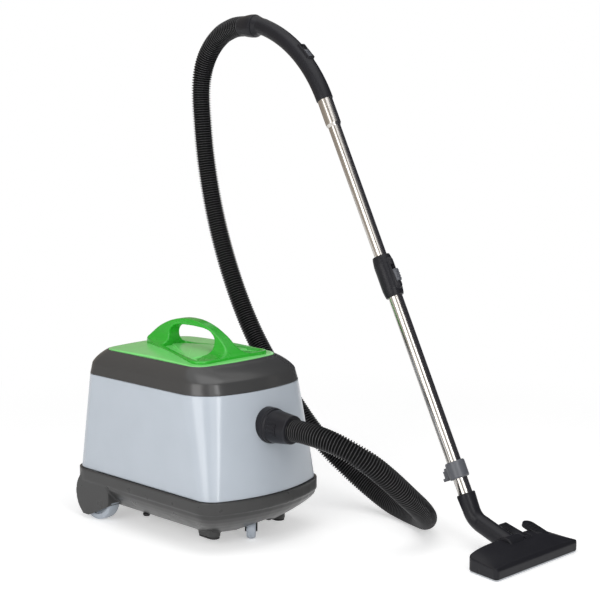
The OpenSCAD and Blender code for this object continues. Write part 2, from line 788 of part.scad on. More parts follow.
module lid_panel() {
    color("#7cde78") difference() {
        union() {
            intersection() {
                translate([0, 0, panel_z - panel_recess]) linear_extrude(30) panel_plan(0);
                translate([0, (panel_rear - panel_front) / 2, panel_z + panel_crown])
                    crown(crown_r, crown_half + 10, 40);
            }
            intersection() {
                translate([0, 0, panel_z]) linear_extrude(20) ring_plan(-ring_w);
                translate([0, handle_y, hump_z + 2]) crown(hump_r, 190, 40);
            }
        }
        difference() {
            translate([0, 0, ring_floor_z]) linear_extrude(30) ring_plan(0.2);
            translate([0, 0, ring_floor_z - OVER]) linear_extrude(40) intersection() {
                ring_plan(-ring_w - 0.1);
                translate([-200, hand_y - hand_len / 2 + 0.2]) square([400, hand_len - 0.4]);
            }
        }
    }
}

// Side outline of the arch in Y and Z: a round back, with an opening for the hand
module handle_side() {
    rise = handle_top_z - panel_z - 6;
    half = handle_len / 2;
    back_r = (half * half + rise * rise) / (2 * rise);
    opening_top = handle_top_z - handle_thick;
    difference() {
        union() {
            intersection() {
                translate([handle_y, handle_top_z - back_r]) circle(back_r, $fn = 200);
                translate([handle_y - half, ring_floor_z]) square([handle_len, handle_top_z]);
            }
            translate([handle_y - half, ring_floor_z]) square([handle_len, 6]);
        }
        polygon([for (i = [0 : 40]) let (a = 360 * i / 40, c = cos(a), s = sin(a))
            [hand_y + hand_len / 2 * sign(c) * pow(abs(c), 0.62),
             (opening_top + ring_floor_z) / 2 + 4
                + (opening_top - ring_floor_z - 8) / 2 * sign(s) * pow(abs(s), s > 0 ? 0.95 : 0.3)]]);
    }
}

// End outline of the arch in X and Z: narrow at the top, running out wide into the ring
module handle_end() {
    steps = 14;
    z0 = ring_floor_z;
    function half_at(t) = handle_w / 2 + 5 * (1 - t) + (ring_half_w - 3 - handle_w / 2) * pow(1 - t, 11);
    polygon(concat(
        [for (i = [0 : steps]) let (t = i / steps) [half_at(t), z0 + (handle_top_z + 2 - z0) * t]],
        [for (i = [steps : -1 : 0]) let (t = i / steps) [-half_at(t), z0 + (handle_top_z + 2 - z0) * t]]));
}

module carry_handle() {
    front = hand_y - hand_len / 2;
    color("#2ca82c") difference() {
        intersection() {
            translate([-200, 0, 0]) rotate([90, 0, 90]) linear_extrude(400) handle_side();
            translate([0, 300, 0]) rotate([90, 0, 0]) linear_extrude(600) handle_end();
            translate([0, 0, ring_floor_z]) linear_extrude(200) ring_plan(0);
        }
        translate([0, 0, ring_floor_z - OVER]) linear_extrude(18) intersection() {
            ring_plan(-ring_w);
            translate([-200, front]) square([400, hand_len]);
        }
    }
    color("#2ca82c") translate([0, 0, ring_floor_z]) linear_extrude(8) difference() {
        ring_plan(0);
        ring_plan(-ring_w + 0.05);
    }
}

module switch_frame() {
    color("#262628") on_rear(switch_x, switch_z) difference() {
        union() {
            translate([-18, -13, 0.1]) cube([36, 26, 2.6]);
            translate([-14.8, -9.8, -16]) cube([29.6, 19.6, 16.2]);
        }
        translate([-13, -8, -10]) cube([26, 16, 20]);
        translate([0, 0, -2]) x_rod(-14.4, 14.4, 1.5 + run_gap);
    }
}

module power_switch() {
    color("#2f9a3a") on_rear(switch_x, switch_z) translate([0, 0, -2]) rotate([-switch_throw / 2, 0, 0]) {
        rotate([90, 0, 90]) translate([0, 0, -12.6]) linear_extrude(25.2) polygon([
            [-7.2, 3.6], [-6.8, 6.4], [0, 4.6], [6.8, 6.4], [7.2, 3.6], [4, -1.6], [0, -3], [-4, -1.6]]);
        x_rod(-14.2, 14.2, 1.5);
    }
}

module cord_gland() {
    color("#232325") on_rear(-switch_x, switch_z) rotate_extrude() polygon([
        [cord_r, -8], [10, -8], [10, 0.1], [15, 0.1], [15, 2.6], [11, 3], [8.5, 12], [cord_r, 12]]);
}

// Moves its children to a place on the rear wall: Z points out of the wall, Y runs down it
module on_rear(x, z) {
    lean = atan(shell_end_lean / shell_h);
    translate([x, shell_rear - shell_end_lean * (z - shell_foot_z) / shell_h, z])
        rotate([-90 + lean, 0, 0]) children();
}

// ---------------------------------------------------------------- hose inlet

// Moves its children so that Z runs out of the front face along the inlet's axis
module on_inlet(out = 0) {
    translate([0, -out, inlet_z]) rotate([90, 0, 0]) children();
}

button_w = 26;
button_len = 25;
button_from = 12;
button_travel = 3;
cuff_foot_r = socket_r - 2;
cuff_end_r = hose_d / 2 + 9;

// Radius of the cuff's tapered sleeve at a distance from the socket
function sleeve_r(along) = cuff_foot_r + (cuff_end_r - cuff_foot_r) * along / inlet_cuff_len;

module inlet_cuff() {
    bore = hose_d / 2 + 0.25;
    y0 = socket_front_y;
    y1 = cuff_front_y;
    plug_end = flange_y - 16.8;
    color("#1b1b1d") difference() {
        on_inlet() rotate_extrude() polygon([
            [hose_bore / 2, plug_end], [socket_bore_r, plug_end], [socket_bore_r, y0 + 0.2],
            [socket_r - 1, y0 + 0.2], [socket_r - 1, y0 + 4], [sleeve_r(6) - 1.5, y0 + 6],
            [sleeve_r(8) - 1.5, y0 + 8], [sleeve_r(9), y0 + 9], [cuff_end_r, y1 - 2],
            [cuff_end_r - 2, y1], [bore, y1], [bore, hose_start_y], [hose_bore / 2, hose_start_y]]);
        both_sides() on_inlet(y0 + button_from) translate([-socket_r, -button_w / 2 - slide_gap, 0])
            cube([socket_r - bore - 4, button_w + 2 * slide_gap, button_len + 2 * slide_gap]);
    }
}

// Press button on the left side of the cuff, with three grip bars across it
module cuff_button() {
    base_x = hose_d / 2 + 4.25 + button_travel + 0.3;
    from_r = sleeve_r(button_from) + 1.2;
    to_r = sleeve_r(button_from + button_len) + 1.2;
    color("#222224") on_inlet(socket_front_y + button_from + slide_gap) {
        intersection() {
            translate([-from_r, -button_w / 2, 0]) cube([from_r - base_x, button_w, button_len]);
            cylinder(r1 = from_r, r2 = to_r, h = button_len);
        }
        for (i = [-1 : 1]) intersection() {
            translate([-from_r - 2, i * 8 - 2, 3]) cube([from_r + 2 - base_x, 4, button_len - 6]);
            cylinder(r1 = from_r + 1.4, r2 = to_r + 1.4, h = button_len);
        }
    }
}

module cuff_button_left() {
    cuff_button();
}

module cuff_button_right() {
    mirror([1, 0, 0]) cuff_button();
}

// ---------------------------------------------------------------- hose

// Smooth curve through the route's points
function route_at(i, t) =
    let (n = len(hose_route) - 1,
         p1 = hose_route[i],
         p2 = hose_route[min(i + 1, n)],
         p0 = i > 0 ? hose_route[i - 1] : 2 * p1 - p2,
         p3 = i + 2 <= n ? hose_route[i + 2] : 2 * p2 - p1)
    0.5 * (2 * p1 + (p2 - p0) * t + (2 * p0 - 5 * p1 + 4 * p2 - p3) * t * t
        + (3 * p1 - p0 - 3 * p2 + p3) * t * t * t);

FINE = 12;
fine_line = concat([for (i = [0 : len(hose_route) - 2], k = [0 : FINE - 1]) route_at(i, k / FINE)],
    [hose_route[len(hose_route) - 1]]);

// Distance along the curve to each of its fine points
function running_sum(v, i = 0, total = 0, out = []) =
    i >= len(v) ? out : running_sum(v, i + 1, total + v[i], concat(out, [total + v[i]]));
fine_step = [for (i = [0 : len(fine_line) - 1]) i == 0 ? 0 : norm(fine_line[i] - fine_line[i - 1])];
fine_len = running_sum(fine_step);
hose_len = fine_len[len(fine_len) - 1];

// Point on the curve at a distance along it
function along(d) =
    let (i = max(1, search_len(d, 0, len(fine_len) - 1)),
         t = (d - fine_len[i - 1]) / (fine_len[i] - fine_len[i - 1]))
    fine_line[i - 1] * (1 - t) + fine_line[i] * t;
function search_len(d, lo, hi) =
    hi - lo <= 1 ? hi : let (mid = floor((lo + hi) / 2))
        fine_len[mid] >= d ? search_len(d, lo, mid) : search_len(d, mid, hi);

function unit(v) = v / norm(v);
function heading(d) = unit(along(min(d + 6, hose_len)) - along(max(d - 6, 0)));

// Sideways direction carried along the curve without twist
function carry(dists, i, side, out) =
    i >= len(dists) ? out :
    let (h = heading(dists[i]), s = unit(side - (side * h) * h))
    carry(dists, i + 1, s, concat(out, [s]));

SIDES = 8;
function ring(d, side, r) =
    let (c = along(d), h = heading(d), up = cross(h, side))
    [for (k = [0 : SIDES - 1]) let (a = 360 * (k + 0.5) / SIDES) c + r * (cos(a) * side + sin(a) * up)];

// Skin of rings, from the first to the last, as triangles; inward turns the faces round
function skin_faces(rings, first, inward) =
    [for (i = [0 : rings - 2], k = [0 : SIDES - 1], half = [0, 1])
        let (a = first + i * SIDES + k, b = first + i * SIDES + (k + 1) % SIDES,
             c = a + SIDES, d = b + SIDES,
             f = half == 0 ? [a, b, d] : [a, d, c])
        inward ? [f[2], f[1], f[0]] : f];

// Flat end between the outer and the inner skin
function end_faces(outer, inner, flip) =
    [for (k = [0 : SIDES - 1], half = [0, 1])
        let (n = (k + 1) % SIDES,
             f = half == 0 ? [outer + k, inner + k, inner + n] : [outer + k, inner + n, outer + n])
        flip ? [f[2], f[1], f[0]] : f];

rib_pitch = hose_len / rib_count;
outer_dists = concat([0], [for (i = [0 : rib_count - 1], k = [0, 1]) rib_pitch * (i + (k == 0 ? 0.25 : 0.75))],
    [hose_len]);
BORE_RINGS = 100;
inner_dists = [for (i = [0 : BORE_RINGS]) hose_len * i / BORE_RINGS];

module hose() {
    crest = hose_d / 2;
    first_side = [1, 0, 0];
    outer_sides = carry(outer_dists, 0, first_side, []);
    inner_sides = carry(inner_dists, 0, first_side, []);
    outer_n = len(outer_dists);
    inner_n = len(inner_dists);
    points = concat(
        [for (i = [0 : outer_n - 1]) each ring(outer_dists[i], outer_sides[i],
            i == 0 || i == outer_n - 1 || i % 2 == 0 ? crest - rib_depth : crest)],
        [for (i = [0 : inner_n - 1]) each ring(inner_dists[i], inner_sides[i], hose_bore / 2)]);
    inner_first = outer_n * SIDES;
    color("#161617") polyhedron(points = points, faces = concat(
        skin_faces(outer_n, 0, true),
        skin_faces(inner_n, inner_first, false),
        end_faces(0, inner_first, true),
        end_faces((outer_n - 1) * SIDES, inner_first + (inner_n - 1) * SIDES, false)));
}

// ---------------------------------------------------------------- hand grip

// The grip's bend starts at the top of the wand; its middle lies square to the wand
grip_start = neck_top + wand_len * [0, sin(wand_tilt), cos(wand_tilt)];
end_turn = 90 - wand_tilt - grip_turn;
end_bend_r = 90;

// Moves its children into the grip's bend: the wand's end is at the origin, the wand is +Y
module on_grip() {
    translate(grip_start) rotate([90, 0, 90]) rotate([0, 0, -wand_tilt]) children();
}

// Tube bent about a point on its right, from the origin, first along +Y
module bent_rod(r, bend_r, turn) {
    translate([bend_r, 0, 0]) rotate([0, 0, 180 - turn]) rotate_extrude(angle = turn, $fn = 160)
        translate([bend_r, 0]) circle(r);
}

// Moves its children to the end of such a bend
module after_bend(bend_r, turn) {
    translate([bend_r, 0, 0]) rotate([0, 0, -turn]) translate([-bend_r, 0, 0]) children();
}

module grip_path(r) {
    bent_rod(r, grip_bend_r, grip_turn);
    after_bend(grip_bend_r, grip_turn - 0.2) bent_rod(r + 0.4, end_bend_r, end_turn + 0.2);
}

module grip_end() {
    on_grip() after_bend(grip_bend_r, grip_turn) after_bend(end_bend_r, end_turn)
        rotate([-90, 0, 0]) children();
}

slider_at = 21.5;

module hand_grip() {
    color("#1e1e20") difference() {
        union() {
            on_grip() grip_path(grip_r);
            on_grip() rotate([-90, 0, 0]) translate([0, 0, -flare_len + 8])
                cylinder(r = flare_r - tube_wall - 0.1, h = flare_len);
            grip_end() translate([0, 0, -20]) cylinder(r1 = grip_r - 2, r2 = cuff_r - 1.5, h = 20);
            on_grip() after_bend(grip_bend_r, slider_at) translate([-grip_r - 3, -26, -10])
                cube([10, 46, 20]);
        }
        on_grip() grip_path(hose_bore / 2 - 3);
        on_grip() rotate([-90, 0, 0]) translate([0, 0, -flare_len]) cylinder(r = flare_r - 4, h = flare_len + 2);
        grip_end() translate([0, 0, -4]) cylinder(r = hose_bore / 2 - 3, h = 10);
        on_grip() after_bend(grip_bend_r, slider_at) translate([-grip_r - 6, -22, -6.3])
            cube([6 + 3, 38, 12.6]);
    }
}

module air_slider() {
    color("#3a3a3d") on_grip() after_bend(grip_bend_r, slider_at) {
        translate([-grip_r - 3 + 0.3, -21.7, -6]) cube([5.4, 22, 12]);
        for (i = [0 : 2]) translate([-grip_r - 4.6, -19 + i * 6, -6]) cube([3, 2.4, 12]);
    }
}

module grip_cuff() {
    bore = hose_d / 2 + 0.25;
    color("#1b1b1d") grip_end() translate([0, 0, 0.2]) rotate_extrude() polygon([
        [hose_bore / 2, 0], [cuff_r - 1.5, 0], [cuff_r, 4], [cuff_r, 14], [cuff_r - 1.2, 26], [cuff_r - 3.4, 40],
        [cuff_r - 4, cuff_len], [bore, cuff_len], [bore, 2.6], [hose_bore / 2, 2.6]]);
}

// ---------------------------------------------------------------- wand

inner_from = clamp_at - clamp_len / 2 - 16;
neck_socket_depth = 34;

module inner_tube() {
    color("#c9ccd0") on_wand() rotate_extrude() polygon([
        [inner_tube_r - tube_wall, inner_from], [inner_tube_r, inner_from],
        [inner_tube_r, wand_len - flare_len - 5], [flare_r, wand_len - flare_len + 2], [flare_r, wand_len - 0.2],
        [flare_r - tube_wall, wand_len - 0.2], [flare_r - tube_wall, wand_len - flare_len + 2.5],
        [inner_tube_r - tube_wall, wand_len - flare_len - 4.5]]);
}

module outer_tube() {
    top = clamp_at + clamp_len / 2 - 12;
    color("#c9ccd0") on_wand() rotate_extrude() polygon([
        [outer_tube_r - tube_wall, -neck_socket_depth], [outer_tube_r, -neck_socket_depth],
        [outer_tube_r, top], [outer_tube_r - tube_wall, top]]);
}

module clamp_sleeve() {
    half = clamp_len / 2;
    bore = outer_tube_r + 0.1;
    color("#232325") on_wand(clamp_at) difference() {
        union() {
            rotate_extrude() polygon([
                [bore, -half], [clamp_r - 3, -half], [clamp_r - 1.5, -half + 6], [clamp_r, -half + 18],
                [clamp_r, half - 20], [clamp_r - 2, half - 6], [clamp_r - 3.5, half],
                [inner_tube_r + slide_gap, half], [inner_tube_r + slide_gap, half - 11.8], [bore, half - 11.8]]);
            hull() {
                translate([0, -clamp_r + 2, 30]) sphere(r = 7, $fn = HULL_FN);
                translate([0, -clamp_r + 2, -28]) sphere(r = 8.5, $fn = HULL_FN);
                translate([0, -clamp_r + 9, 0]) cylinder(r = 11, h = 2);
            }
        }
        translate([0, 0, -half - OVER]) cylinder(r = bore, h = clamp_len - 11);
        translate([0, 0, -half]) cylinder(r = inner_tube_r + slide_gap, h = 2 * clamp_len);
        translate([-6.3, -clamp_r - 12, -20.3]) cube([12.6, 15.5, 40.6]);
    }
}

module clamp_button() {
    color("#3d3d40") on_wand(clamp_at) {
        translate([-6, -clamp_r - 7.2, -20]) cube([12, 10.4, 28]);
        for (i = [0 : 3]) translate([-6, -clamp_r - 8.6, -17 + i * 6]) cube([12, 3, 2.6]);
    }
}

module parking_hook() {
    color("#4a4c50") on_wand(hook_at) {
        rotate_extrude() polygon([[outer_tube_r + 0.1, -19], [outer_tube_r + 4.5, -19], [outer_tube_r + 6, -16],
            [outer_tube_r + 6, 16], [outer_tube_r + 4.5, 19], [outer_tube_r + 0.1, 19]]);
        translate([-9, outer_tube_r + 4, -13]) cube([18, 9, 24]);
        translate([-9, outer_tube_r + 12.9, -16]) cube([18, 5, 22]);
        translate([-9, outer_tube_r + 17.8, -16]) cube([18, 6, 7]);
    }
}

// ---------------------------------------------------------------- floor tool

elbow_turn = 90 - wand_tilt - neck_drop;
elbow_cut = neck_bend_r * tan(elbow_turn / 2);

// Moves its children so that Z runs down the slanted foot of the neck, from its bend
module on_neck_foot() {
    on_wand() translate([0, 0, -neck_straight]) rotate([-elbow_turn, 0, 0]) rotate([180, 0, 0]) children();
}

foot_len = 105.3;

module neck_solid(r, extra = 0) {
    on_wand() translate([0, 0, -neck_straight + elbow_cut]) cylinder(r = r, h = neck_straight - elbow_cut + extra);
    on_wand() translate([0, 0, -neck_straight + elbow_cut]) rotate([0, 0, 90]) rotate([-90, 0, 0])
        translate([-neck_bend_r, 0, 0]) rotate_extrude(angle = elbow_turn, $fn = 96)
        translate([neck_bend_r, 0]) circle(r);
    on_neck_foot() translate([0, 0, elbow_cut - 2]) cylinder(r = r + 0.5, h = foot_len - elbow_cut + 2);
}

module tool_neck() {
    color("#1c1c1e") difference() {
        union() {
            neck_solid(neck_r - 1.5);
            on_wand() translate([0, 0, -8]) cylinder(r = neck_r, h = 8);
            on_wand() translate([0, 0, -36]) cylinder(r1 = neck_r - 1.5, r2 = neck_r, h = 28);
            translate([wand_x, barrel_y, barrel_z]) x_rod(-barrel_len / 2, barrel_len / 2, barrel_r);
        }
        on_wand() translate([0, 0, -neck_socket_depth - 0.2]) cylinder(r = outer_tube_r + 0.1, h = 60);
        neck_solid(neck_r - 5);
        translate([wand_x, barrel_y, barrel_z]) x_rod(-barrel_len / 2 + 3, barrel_len / 2 - 3, barrel_r - 3);
        translate([wand_x, barrel_y, barrel_z]) x_rod(-barrel_len, barrel_len, 4 + run_gap);
        translate([wand_x - 17, barrel_y - 14, -OVER]) cube([34, 28, barrel_z - 6]);
    }
}

// Plan outline of the floor tool
module tool_plan(grow = 0) {
    rear_half = tool_w / 2 - 10;
    translate([wand_x, 0]) polygon(concat(
        arc_points(tool_w / 2 - 8, -tool_front_y + 8, 8 + grow, -90, 0, 4),
        arc_points(rear_half - 14, tool_rear_y - 14, 14 + grow, 10, 90, 4),
        arc_points(-rear_half + 14, tool_rear_y - 14, 14 + grow, 90, 170, 4),
        arc_points(-tool_w / 2 + 8, -tool_front_y + 8, 8 + grow, 180, 270, 4)));
}

// Side outline of the head in Y and Z: upright front edge, then a slope up to the rear
module head_side(grow = 0) {
    polygon(concat(
        [[-tool_front_y - 1, 1]],
        arc_points(-tool_front_y + 5, tool_lip_h - 4, 6 + grow, 180, 120, 4),
        arc_points(barrel_y - 4, hump_h - dome_r, dome_r + grow, 128, 62, 10),
        [[tool_rear_y - 3 + grow, 16 + grow], [tool_rear_y + 1, 1]]));
}

// Front outline of the head in X and Z: low ends rising in a long curve to the middle
module head_front(grow = 0) {
    steps = 20;
    polygon(concat([[tool_w / 2 + 2, 1], [-tool_w / 2 - 2, 1]],
        [for (i = [-steps : steps]) let (t = i / steps)
            [t * (tool_w / 2 + 2), end_h + grow + (hump_h + 1 - end_h) * pow(cos(90 * t), 1.3)]]));
}

module head_solid(grow = 0) {
    intersection() {
        translate([0, 0, sole_h]) linear_extrude(70) tool_plan(grow);
        translate([wand_x - tool_w, 0, 0]) rotate([90, 0, 90]) linear_extrude(2 * tool_w) head_side(grow);
        translate([wand_x, 0, 0]) rotate([90, 0, 0]) linear_extrude(900) head_front(grow);
    }
}

dome_r = 50;
end_h = 27;
brush_rows = [-28, 9];
guide_x = 70;
guide_y = (brush_rows[0] + brush_rows[1]) / 2;
bar_z = 8;
bar_h = 4.5;
slot_w = 10;
slot_at = -4;
pedal_y = -678;
pedal_z = 33;
pin_r = 3;
flat_x0 = 28.5;
flat_x1 = 56;
flat_hub_x1 = 46;
flat_hub_r = 12;
round_x = 93;
round_r = 16.5;
small_hub_r = 6;
flat_rise = 15;
round_rise = 18;
pedal_swing = 9;
pin_x0 = 25;
pin_x1 = 116;
roller_x = 105;
roller_y = tool_rear_y - 9;
roller_r = 4.9;

// Moves its children to the pedals' pin
module on_pin() {
    translate([wand_x, pedal_y, pedal_z]) children();
}

module head_shell() {
    slot_half = barrel_len / 2 + slide_gap;
    color("#2b2b2e") difference() {
        union() {
            difference() {
                head_solid();
                translate([0, 0, -wall]) head_solid(-wall);
            }
            intersection() {
                head_solid(-1);
                union() {
                    for (s = [-1, 1]) translate([wand_x + s * (slot_half + 2.35) - 2.35, -712, 0])
                        cube([4.7, 60, 80]);
                    for (x = [flat_x1 + 1, round_x - round_r - 4.5, round_x + round_r + 0.5])
                        translate([wand_x + x, pedal_y - 12, bar_z + bar_h + 3]) cube([4, 30, 60]);
                }
            }
            intersection() {
                head_solid(-1);
                for (s = [-1, 1]) translate([wand_x + s * guide_x, tool_centre_y + guide_y, bar_z + bar_h + 6])
                    cylinder(r = 6, h = 40);
            }
        }
        translate([wand_x, barrel_y, barrel_z]) x_rod(-slot_half, slot_half, barrel_r + 1);
        translate([wand_x - slot_half, 0, 0]) rotate([90, 0, 90]) linear_extrude(2 * slot_half) polygon([
            [barrel_y - 20, -OVER], [barrel_y - 20, 38], [barrel_y - 8, 64], [barrel_y + 60, 64],
            [barrel_y + 60, -OVER]]);
        translate([wand_x, barrel_y, barrel_z]) x_rod(-slot_half - 4.8, slot_half + 4.8, cap_r + 0.02);
        for (y = brush_rows) translate([wand_x - tool_w / 2 + 8, tool_centre_y + y - 4, 0])
            cube([tool_w - 16, 8, bar_z + bar_h + 1.5]);
        for (s = [-1, 1]) translate([wand_x + s * guide_x, tool_centre_y + guide_y, 0])
            cylinder(r = 3 + run_gap, h = bar_z + bar_h + 16);
        on_pin() x_rod(pin_x0, pin_x1 + 20, pin_r + 0.02);
        on_pin() x_rod(flat_x0 - slide_gap, flat_hub_x1 + 3.4, flat_hub_r + 0.5);
        on_pin() x_rod(flat_x0 - slide_gap, flat_x1 + slide_gap, small_hub_r);
        on_pin() translate([flat_x0 - slide_gap, 0, -0.5]) cube([flat_x1 - flat_x0 + 2 * slide_gap, 60, 40]);
        on_pin() x_rod(round_x - round_r - slide_gap, round_x + round_r + slide_gap, small_hub_r + 1.5);
        on_pin() translate([round_x - round_r - slide_gap, 0, -0.5]) cube([2 * (round_r + slide_gap), 60, 40]);
    }
}

cap_r = 4;

module barrel_caps() {
    color("#8c9096") translate([wand_x, barrel_y, barrel_z])
        for (s = [-1, 1]) x_rod(s > 0 ? barrel_len / 2 - 2.8 : -barrel_len / 2 - 5,
            s > 0 ? barrel_len / 2 + 5 : -barrel_len / 2 + 2.8, cap_r);
}

module sole_plate() {
    color("#bfc2c6") difference() {
        union() {
            linear_extrude(sole_h) tool_plan(-1.5);
            for (s = [-1, 1], e = [-1, 1]) translate([wand_x + s * roller_x + e * 12.3 - 1, roller_y - 3, 0])
                cube([2, 6, 8]);
        }
        translate([wand_x - 120, tool_centre_y - slot_w / 2 + slot_at, -OVER]) cube([240, slot_w, 6]);
        for (y = brush_rows) translate([wand_x - 122, tool_centre_y + y - 3.6, -OVER]) cube([244, 7.2, 6]);
        for (s = [-1, 1]) translate([wand_x + s * roller_x, roller_y, 0]) {
            translate([-11, -6, -OVER]) cube([22, 12, 6]);
            translate([0, 0, 5]) x_rod(-13.4, 13.4, 1.5 + run_gap);
        }
    }
}

module roller(s) {
    color("#77797c") translate([wand_x + s * roller_x, roller_y, 5]) {
        x_rod(-9, 9, roller_r);
        x_rod(-13.2, 13.2, 1.5);
    }
}

module roller_left() {
    roller(-1);
}

module roller_right() {
    roller(1);
}

module brush_frame() {
    color("#39393c") translate([wand_x, tool_centre_y, bar_z]) {
        for (y = brush_rows) translate([-120, y - 3, 0]) cube([240, 6, bar_h]);
        for (s = [-1, 1]) {
            translate([s * guide_x - 4, brush_rows[0], 0]) cube([8, brush_rows[1] - brush_rows[0], bar_h]);
            translate([s * guide_x, guide_y, 0]) cylinder(r = 3, h = bar_h + 15);
        }
    }
}

module brush_bristles() {
    tuft = 5.6;
    pitch = 8;
    color("#111112") for (y = brush_rows) translate([wand_x, tool_centre_y + y, 0]) {
        translate([-118, -2, bar_z - 1.2]) cube([236, 4, 1.2]);
        for (i = [0 : 28]) translate([-116 + i * pitch, -2, brush_gap]) cube([tuft, 4, bar_z - brush_gap]);
    }
}

module pedal_flat() {
    color("#202022") on_pin() rotate([flat_rise, 0, 0]) difference() {
        union() {
            x_rod(flat_x0, flat_hub_x1, flat_hub_r);
            translate([flat_x0, 0, 0]) cube([flat_x1 - flat_x0, 72, 4.5]);
            for (i = [0 : 3]) translate([flat_x0 + 3, 48 + i * 6, 0]) cube([flat_x1 - flat_x0 - 6, 2.4, 5.3]);
        }
        x_rod(0, 80, pin_r + run_gap);
        x_rod(flat_hub_x1, 80, pin_r + 2.5);
    }
}

module pedal_round() {
    color("#202022") on_pin() rotate([round_rise, 0, 0]) difference() {
        union() {
            x_rod(round_x - round_r, round_x + round_r, small_hub_r);
            translate([round_x - round_r, 0, 0]) cube([2 * round_r, 36, 6.5]);
            translate([round_x, 36, 0]) cylinder(r = round_r, h = 6.5);
            for (i = [0 : 3]) translate([round_x - 11, 14 + i * 8, 0]) cube([22, 3, 7.4]);
        }
        x_rod(round_x - 30, round_x + 30, pin_r + run_gap);
    }
}

module pedal_pin() {
    color("#b9bcc0") on_pin() {
        x_rod(pin_x0, pin_x1, pin_r);
        x_rod(flat_hub_x1 + 0.3, flat_hub_x1 + 2.8, pin_r + 2);
    }
}

// ---------------------------------------------------------------- everything

module placed() {
    translate([-origin_x, -origin_y, 0]) children();
}

placed() base_tub();
placed() body_shell();
placed() motor_deck();
placed() filter_grille();
placed() motor_filter();
placed() fan_housing();
placed() motor();
placed() motor_rings();
placed() exhaust_filter();
placed() exhaust_grille();
placed() dust_bag();
placed() bag_collar();
placed() bag_guides();
placed() inlet_socket();
placed() socket_seal();
placed() rubber_feet();
placed() body_screws();
placed() rear_axle();
placed() wheel_left();
placed() wheel_right();
placed() caster_fork();
placed() caster_pin();
placed() caster_wheel();
placed() hinge_pins();
placed() lid_frame();
placed() lid_panel();
placed() carry_handle();
placed() lid_seal();
placed() switch_frame();
placed() cord_gland();
placed() power_switch();
placed() inlet_cuff();
placed() cuff_button_left();
placed() cuff_button_right();
placed() hose();
placed() grip_cuff();
placed() hand_grip();
placed() air_slider();
placed() inner_tube();
placed() outer_tube();
placed() clamp_sleeve();
placed() clamp_button();
placed() parking_hook();
placed() tool_neck();
placed() head_shell();
placed() barrel_caps();
placed() sole_plate();
placed() roller_left();
placed() roller_right();
placed() brush_frame();
placed() brush_bristles();
placed() pedal_flat();
placed() pedal_round();
placed() pedal_pin();
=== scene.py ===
# %% [markdown]
# # Dressing a canister vacuum cleaner
# The machine is a wheeled box with a lid, a ribbed suction hose, a steel wand and a floor tool.
# Its construction comes as a fixed frame, in which every rigid part already has its size and place.
# Blender adds what the eye judges: soft moulded edges, the fine ribs of the hose and the finishes.
# Everything here is in metres, in the frame's own axes: Z is up and Y runs from the hose inlet
# to the rear of the body.

# %% Load the frame
import json
import math

import bmesh
import bpy
import numpy as np
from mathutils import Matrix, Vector


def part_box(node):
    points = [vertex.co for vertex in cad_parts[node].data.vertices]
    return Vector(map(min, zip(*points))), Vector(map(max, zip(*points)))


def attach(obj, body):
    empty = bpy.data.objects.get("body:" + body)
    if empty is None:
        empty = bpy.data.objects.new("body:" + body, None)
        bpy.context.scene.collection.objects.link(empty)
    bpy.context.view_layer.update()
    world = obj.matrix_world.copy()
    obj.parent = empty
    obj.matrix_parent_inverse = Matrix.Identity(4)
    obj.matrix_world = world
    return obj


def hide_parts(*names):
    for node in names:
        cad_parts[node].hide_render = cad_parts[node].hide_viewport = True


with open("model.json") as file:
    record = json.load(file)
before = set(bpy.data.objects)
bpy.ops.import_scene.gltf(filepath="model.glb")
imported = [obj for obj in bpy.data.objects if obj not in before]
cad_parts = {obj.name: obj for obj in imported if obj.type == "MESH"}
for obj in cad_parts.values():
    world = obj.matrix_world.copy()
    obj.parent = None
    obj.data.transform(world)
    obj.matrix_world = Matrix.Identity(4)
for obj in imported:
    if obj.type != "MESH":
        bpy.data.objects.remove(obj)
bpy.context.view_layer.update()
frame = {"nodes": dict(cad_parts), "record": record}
nodes = frame["nodes"]
scene = bpy.context.scene
MM = 0.001
print("parts in the frame:", len(nodes))

# %% [markdown]
# ## The camera
# A product picture is taken from far away with a long lens, so that upright edges stay upright.
# A 90 mm lens on a 36 mm sensor, over three metres off and a little above the machine, does that.

# %% Camera
AZIMUTH = math.radians(-45.11)
PITCH = math.radians(8.55)
CAMERA_AT = (-2.3116, -2.2579, 1.008)
camera_data = bpy.data.cameras.new("studio_camera")
camera_data.lens = 90
camera_data.sensor_width = 36
camera_data.clip_end = 50
camera = bpy.data.objects.new("studio_camera", camera_data)
scene.collection.objects.link(camera)
camera.location = CAMERA_AT
sight = Vector((-math.sin(AZIMUTH) * math.cos(PITCH), math.cos(AZIMUTH) * math.cos(PITCH), -math.sin(PITCH)))
camera.rotation_mode = "QUATERNION"
camera.rotation_quaternion = sight.to_track_quat("-Z", "Y")
scene.camera = camera
print("camera looks along", [round(c, 3) for c in sight])

# %% [markdown]
# ## The suction hose
# The hose is extruded EVA with a rib every few millimetres, which lets it bend without closing.
# A bump map would leave its outline smooth, and the outline is where ribs show most. So the tube
# is a real mesh: rings carried along the route without twist, with six rings to every rib.
# The route is the one that the frame's own hose follows. It starts at the inlet cuff, falls to
# the floor beside the body, turns back along it and rises behind the body to the hand grip.

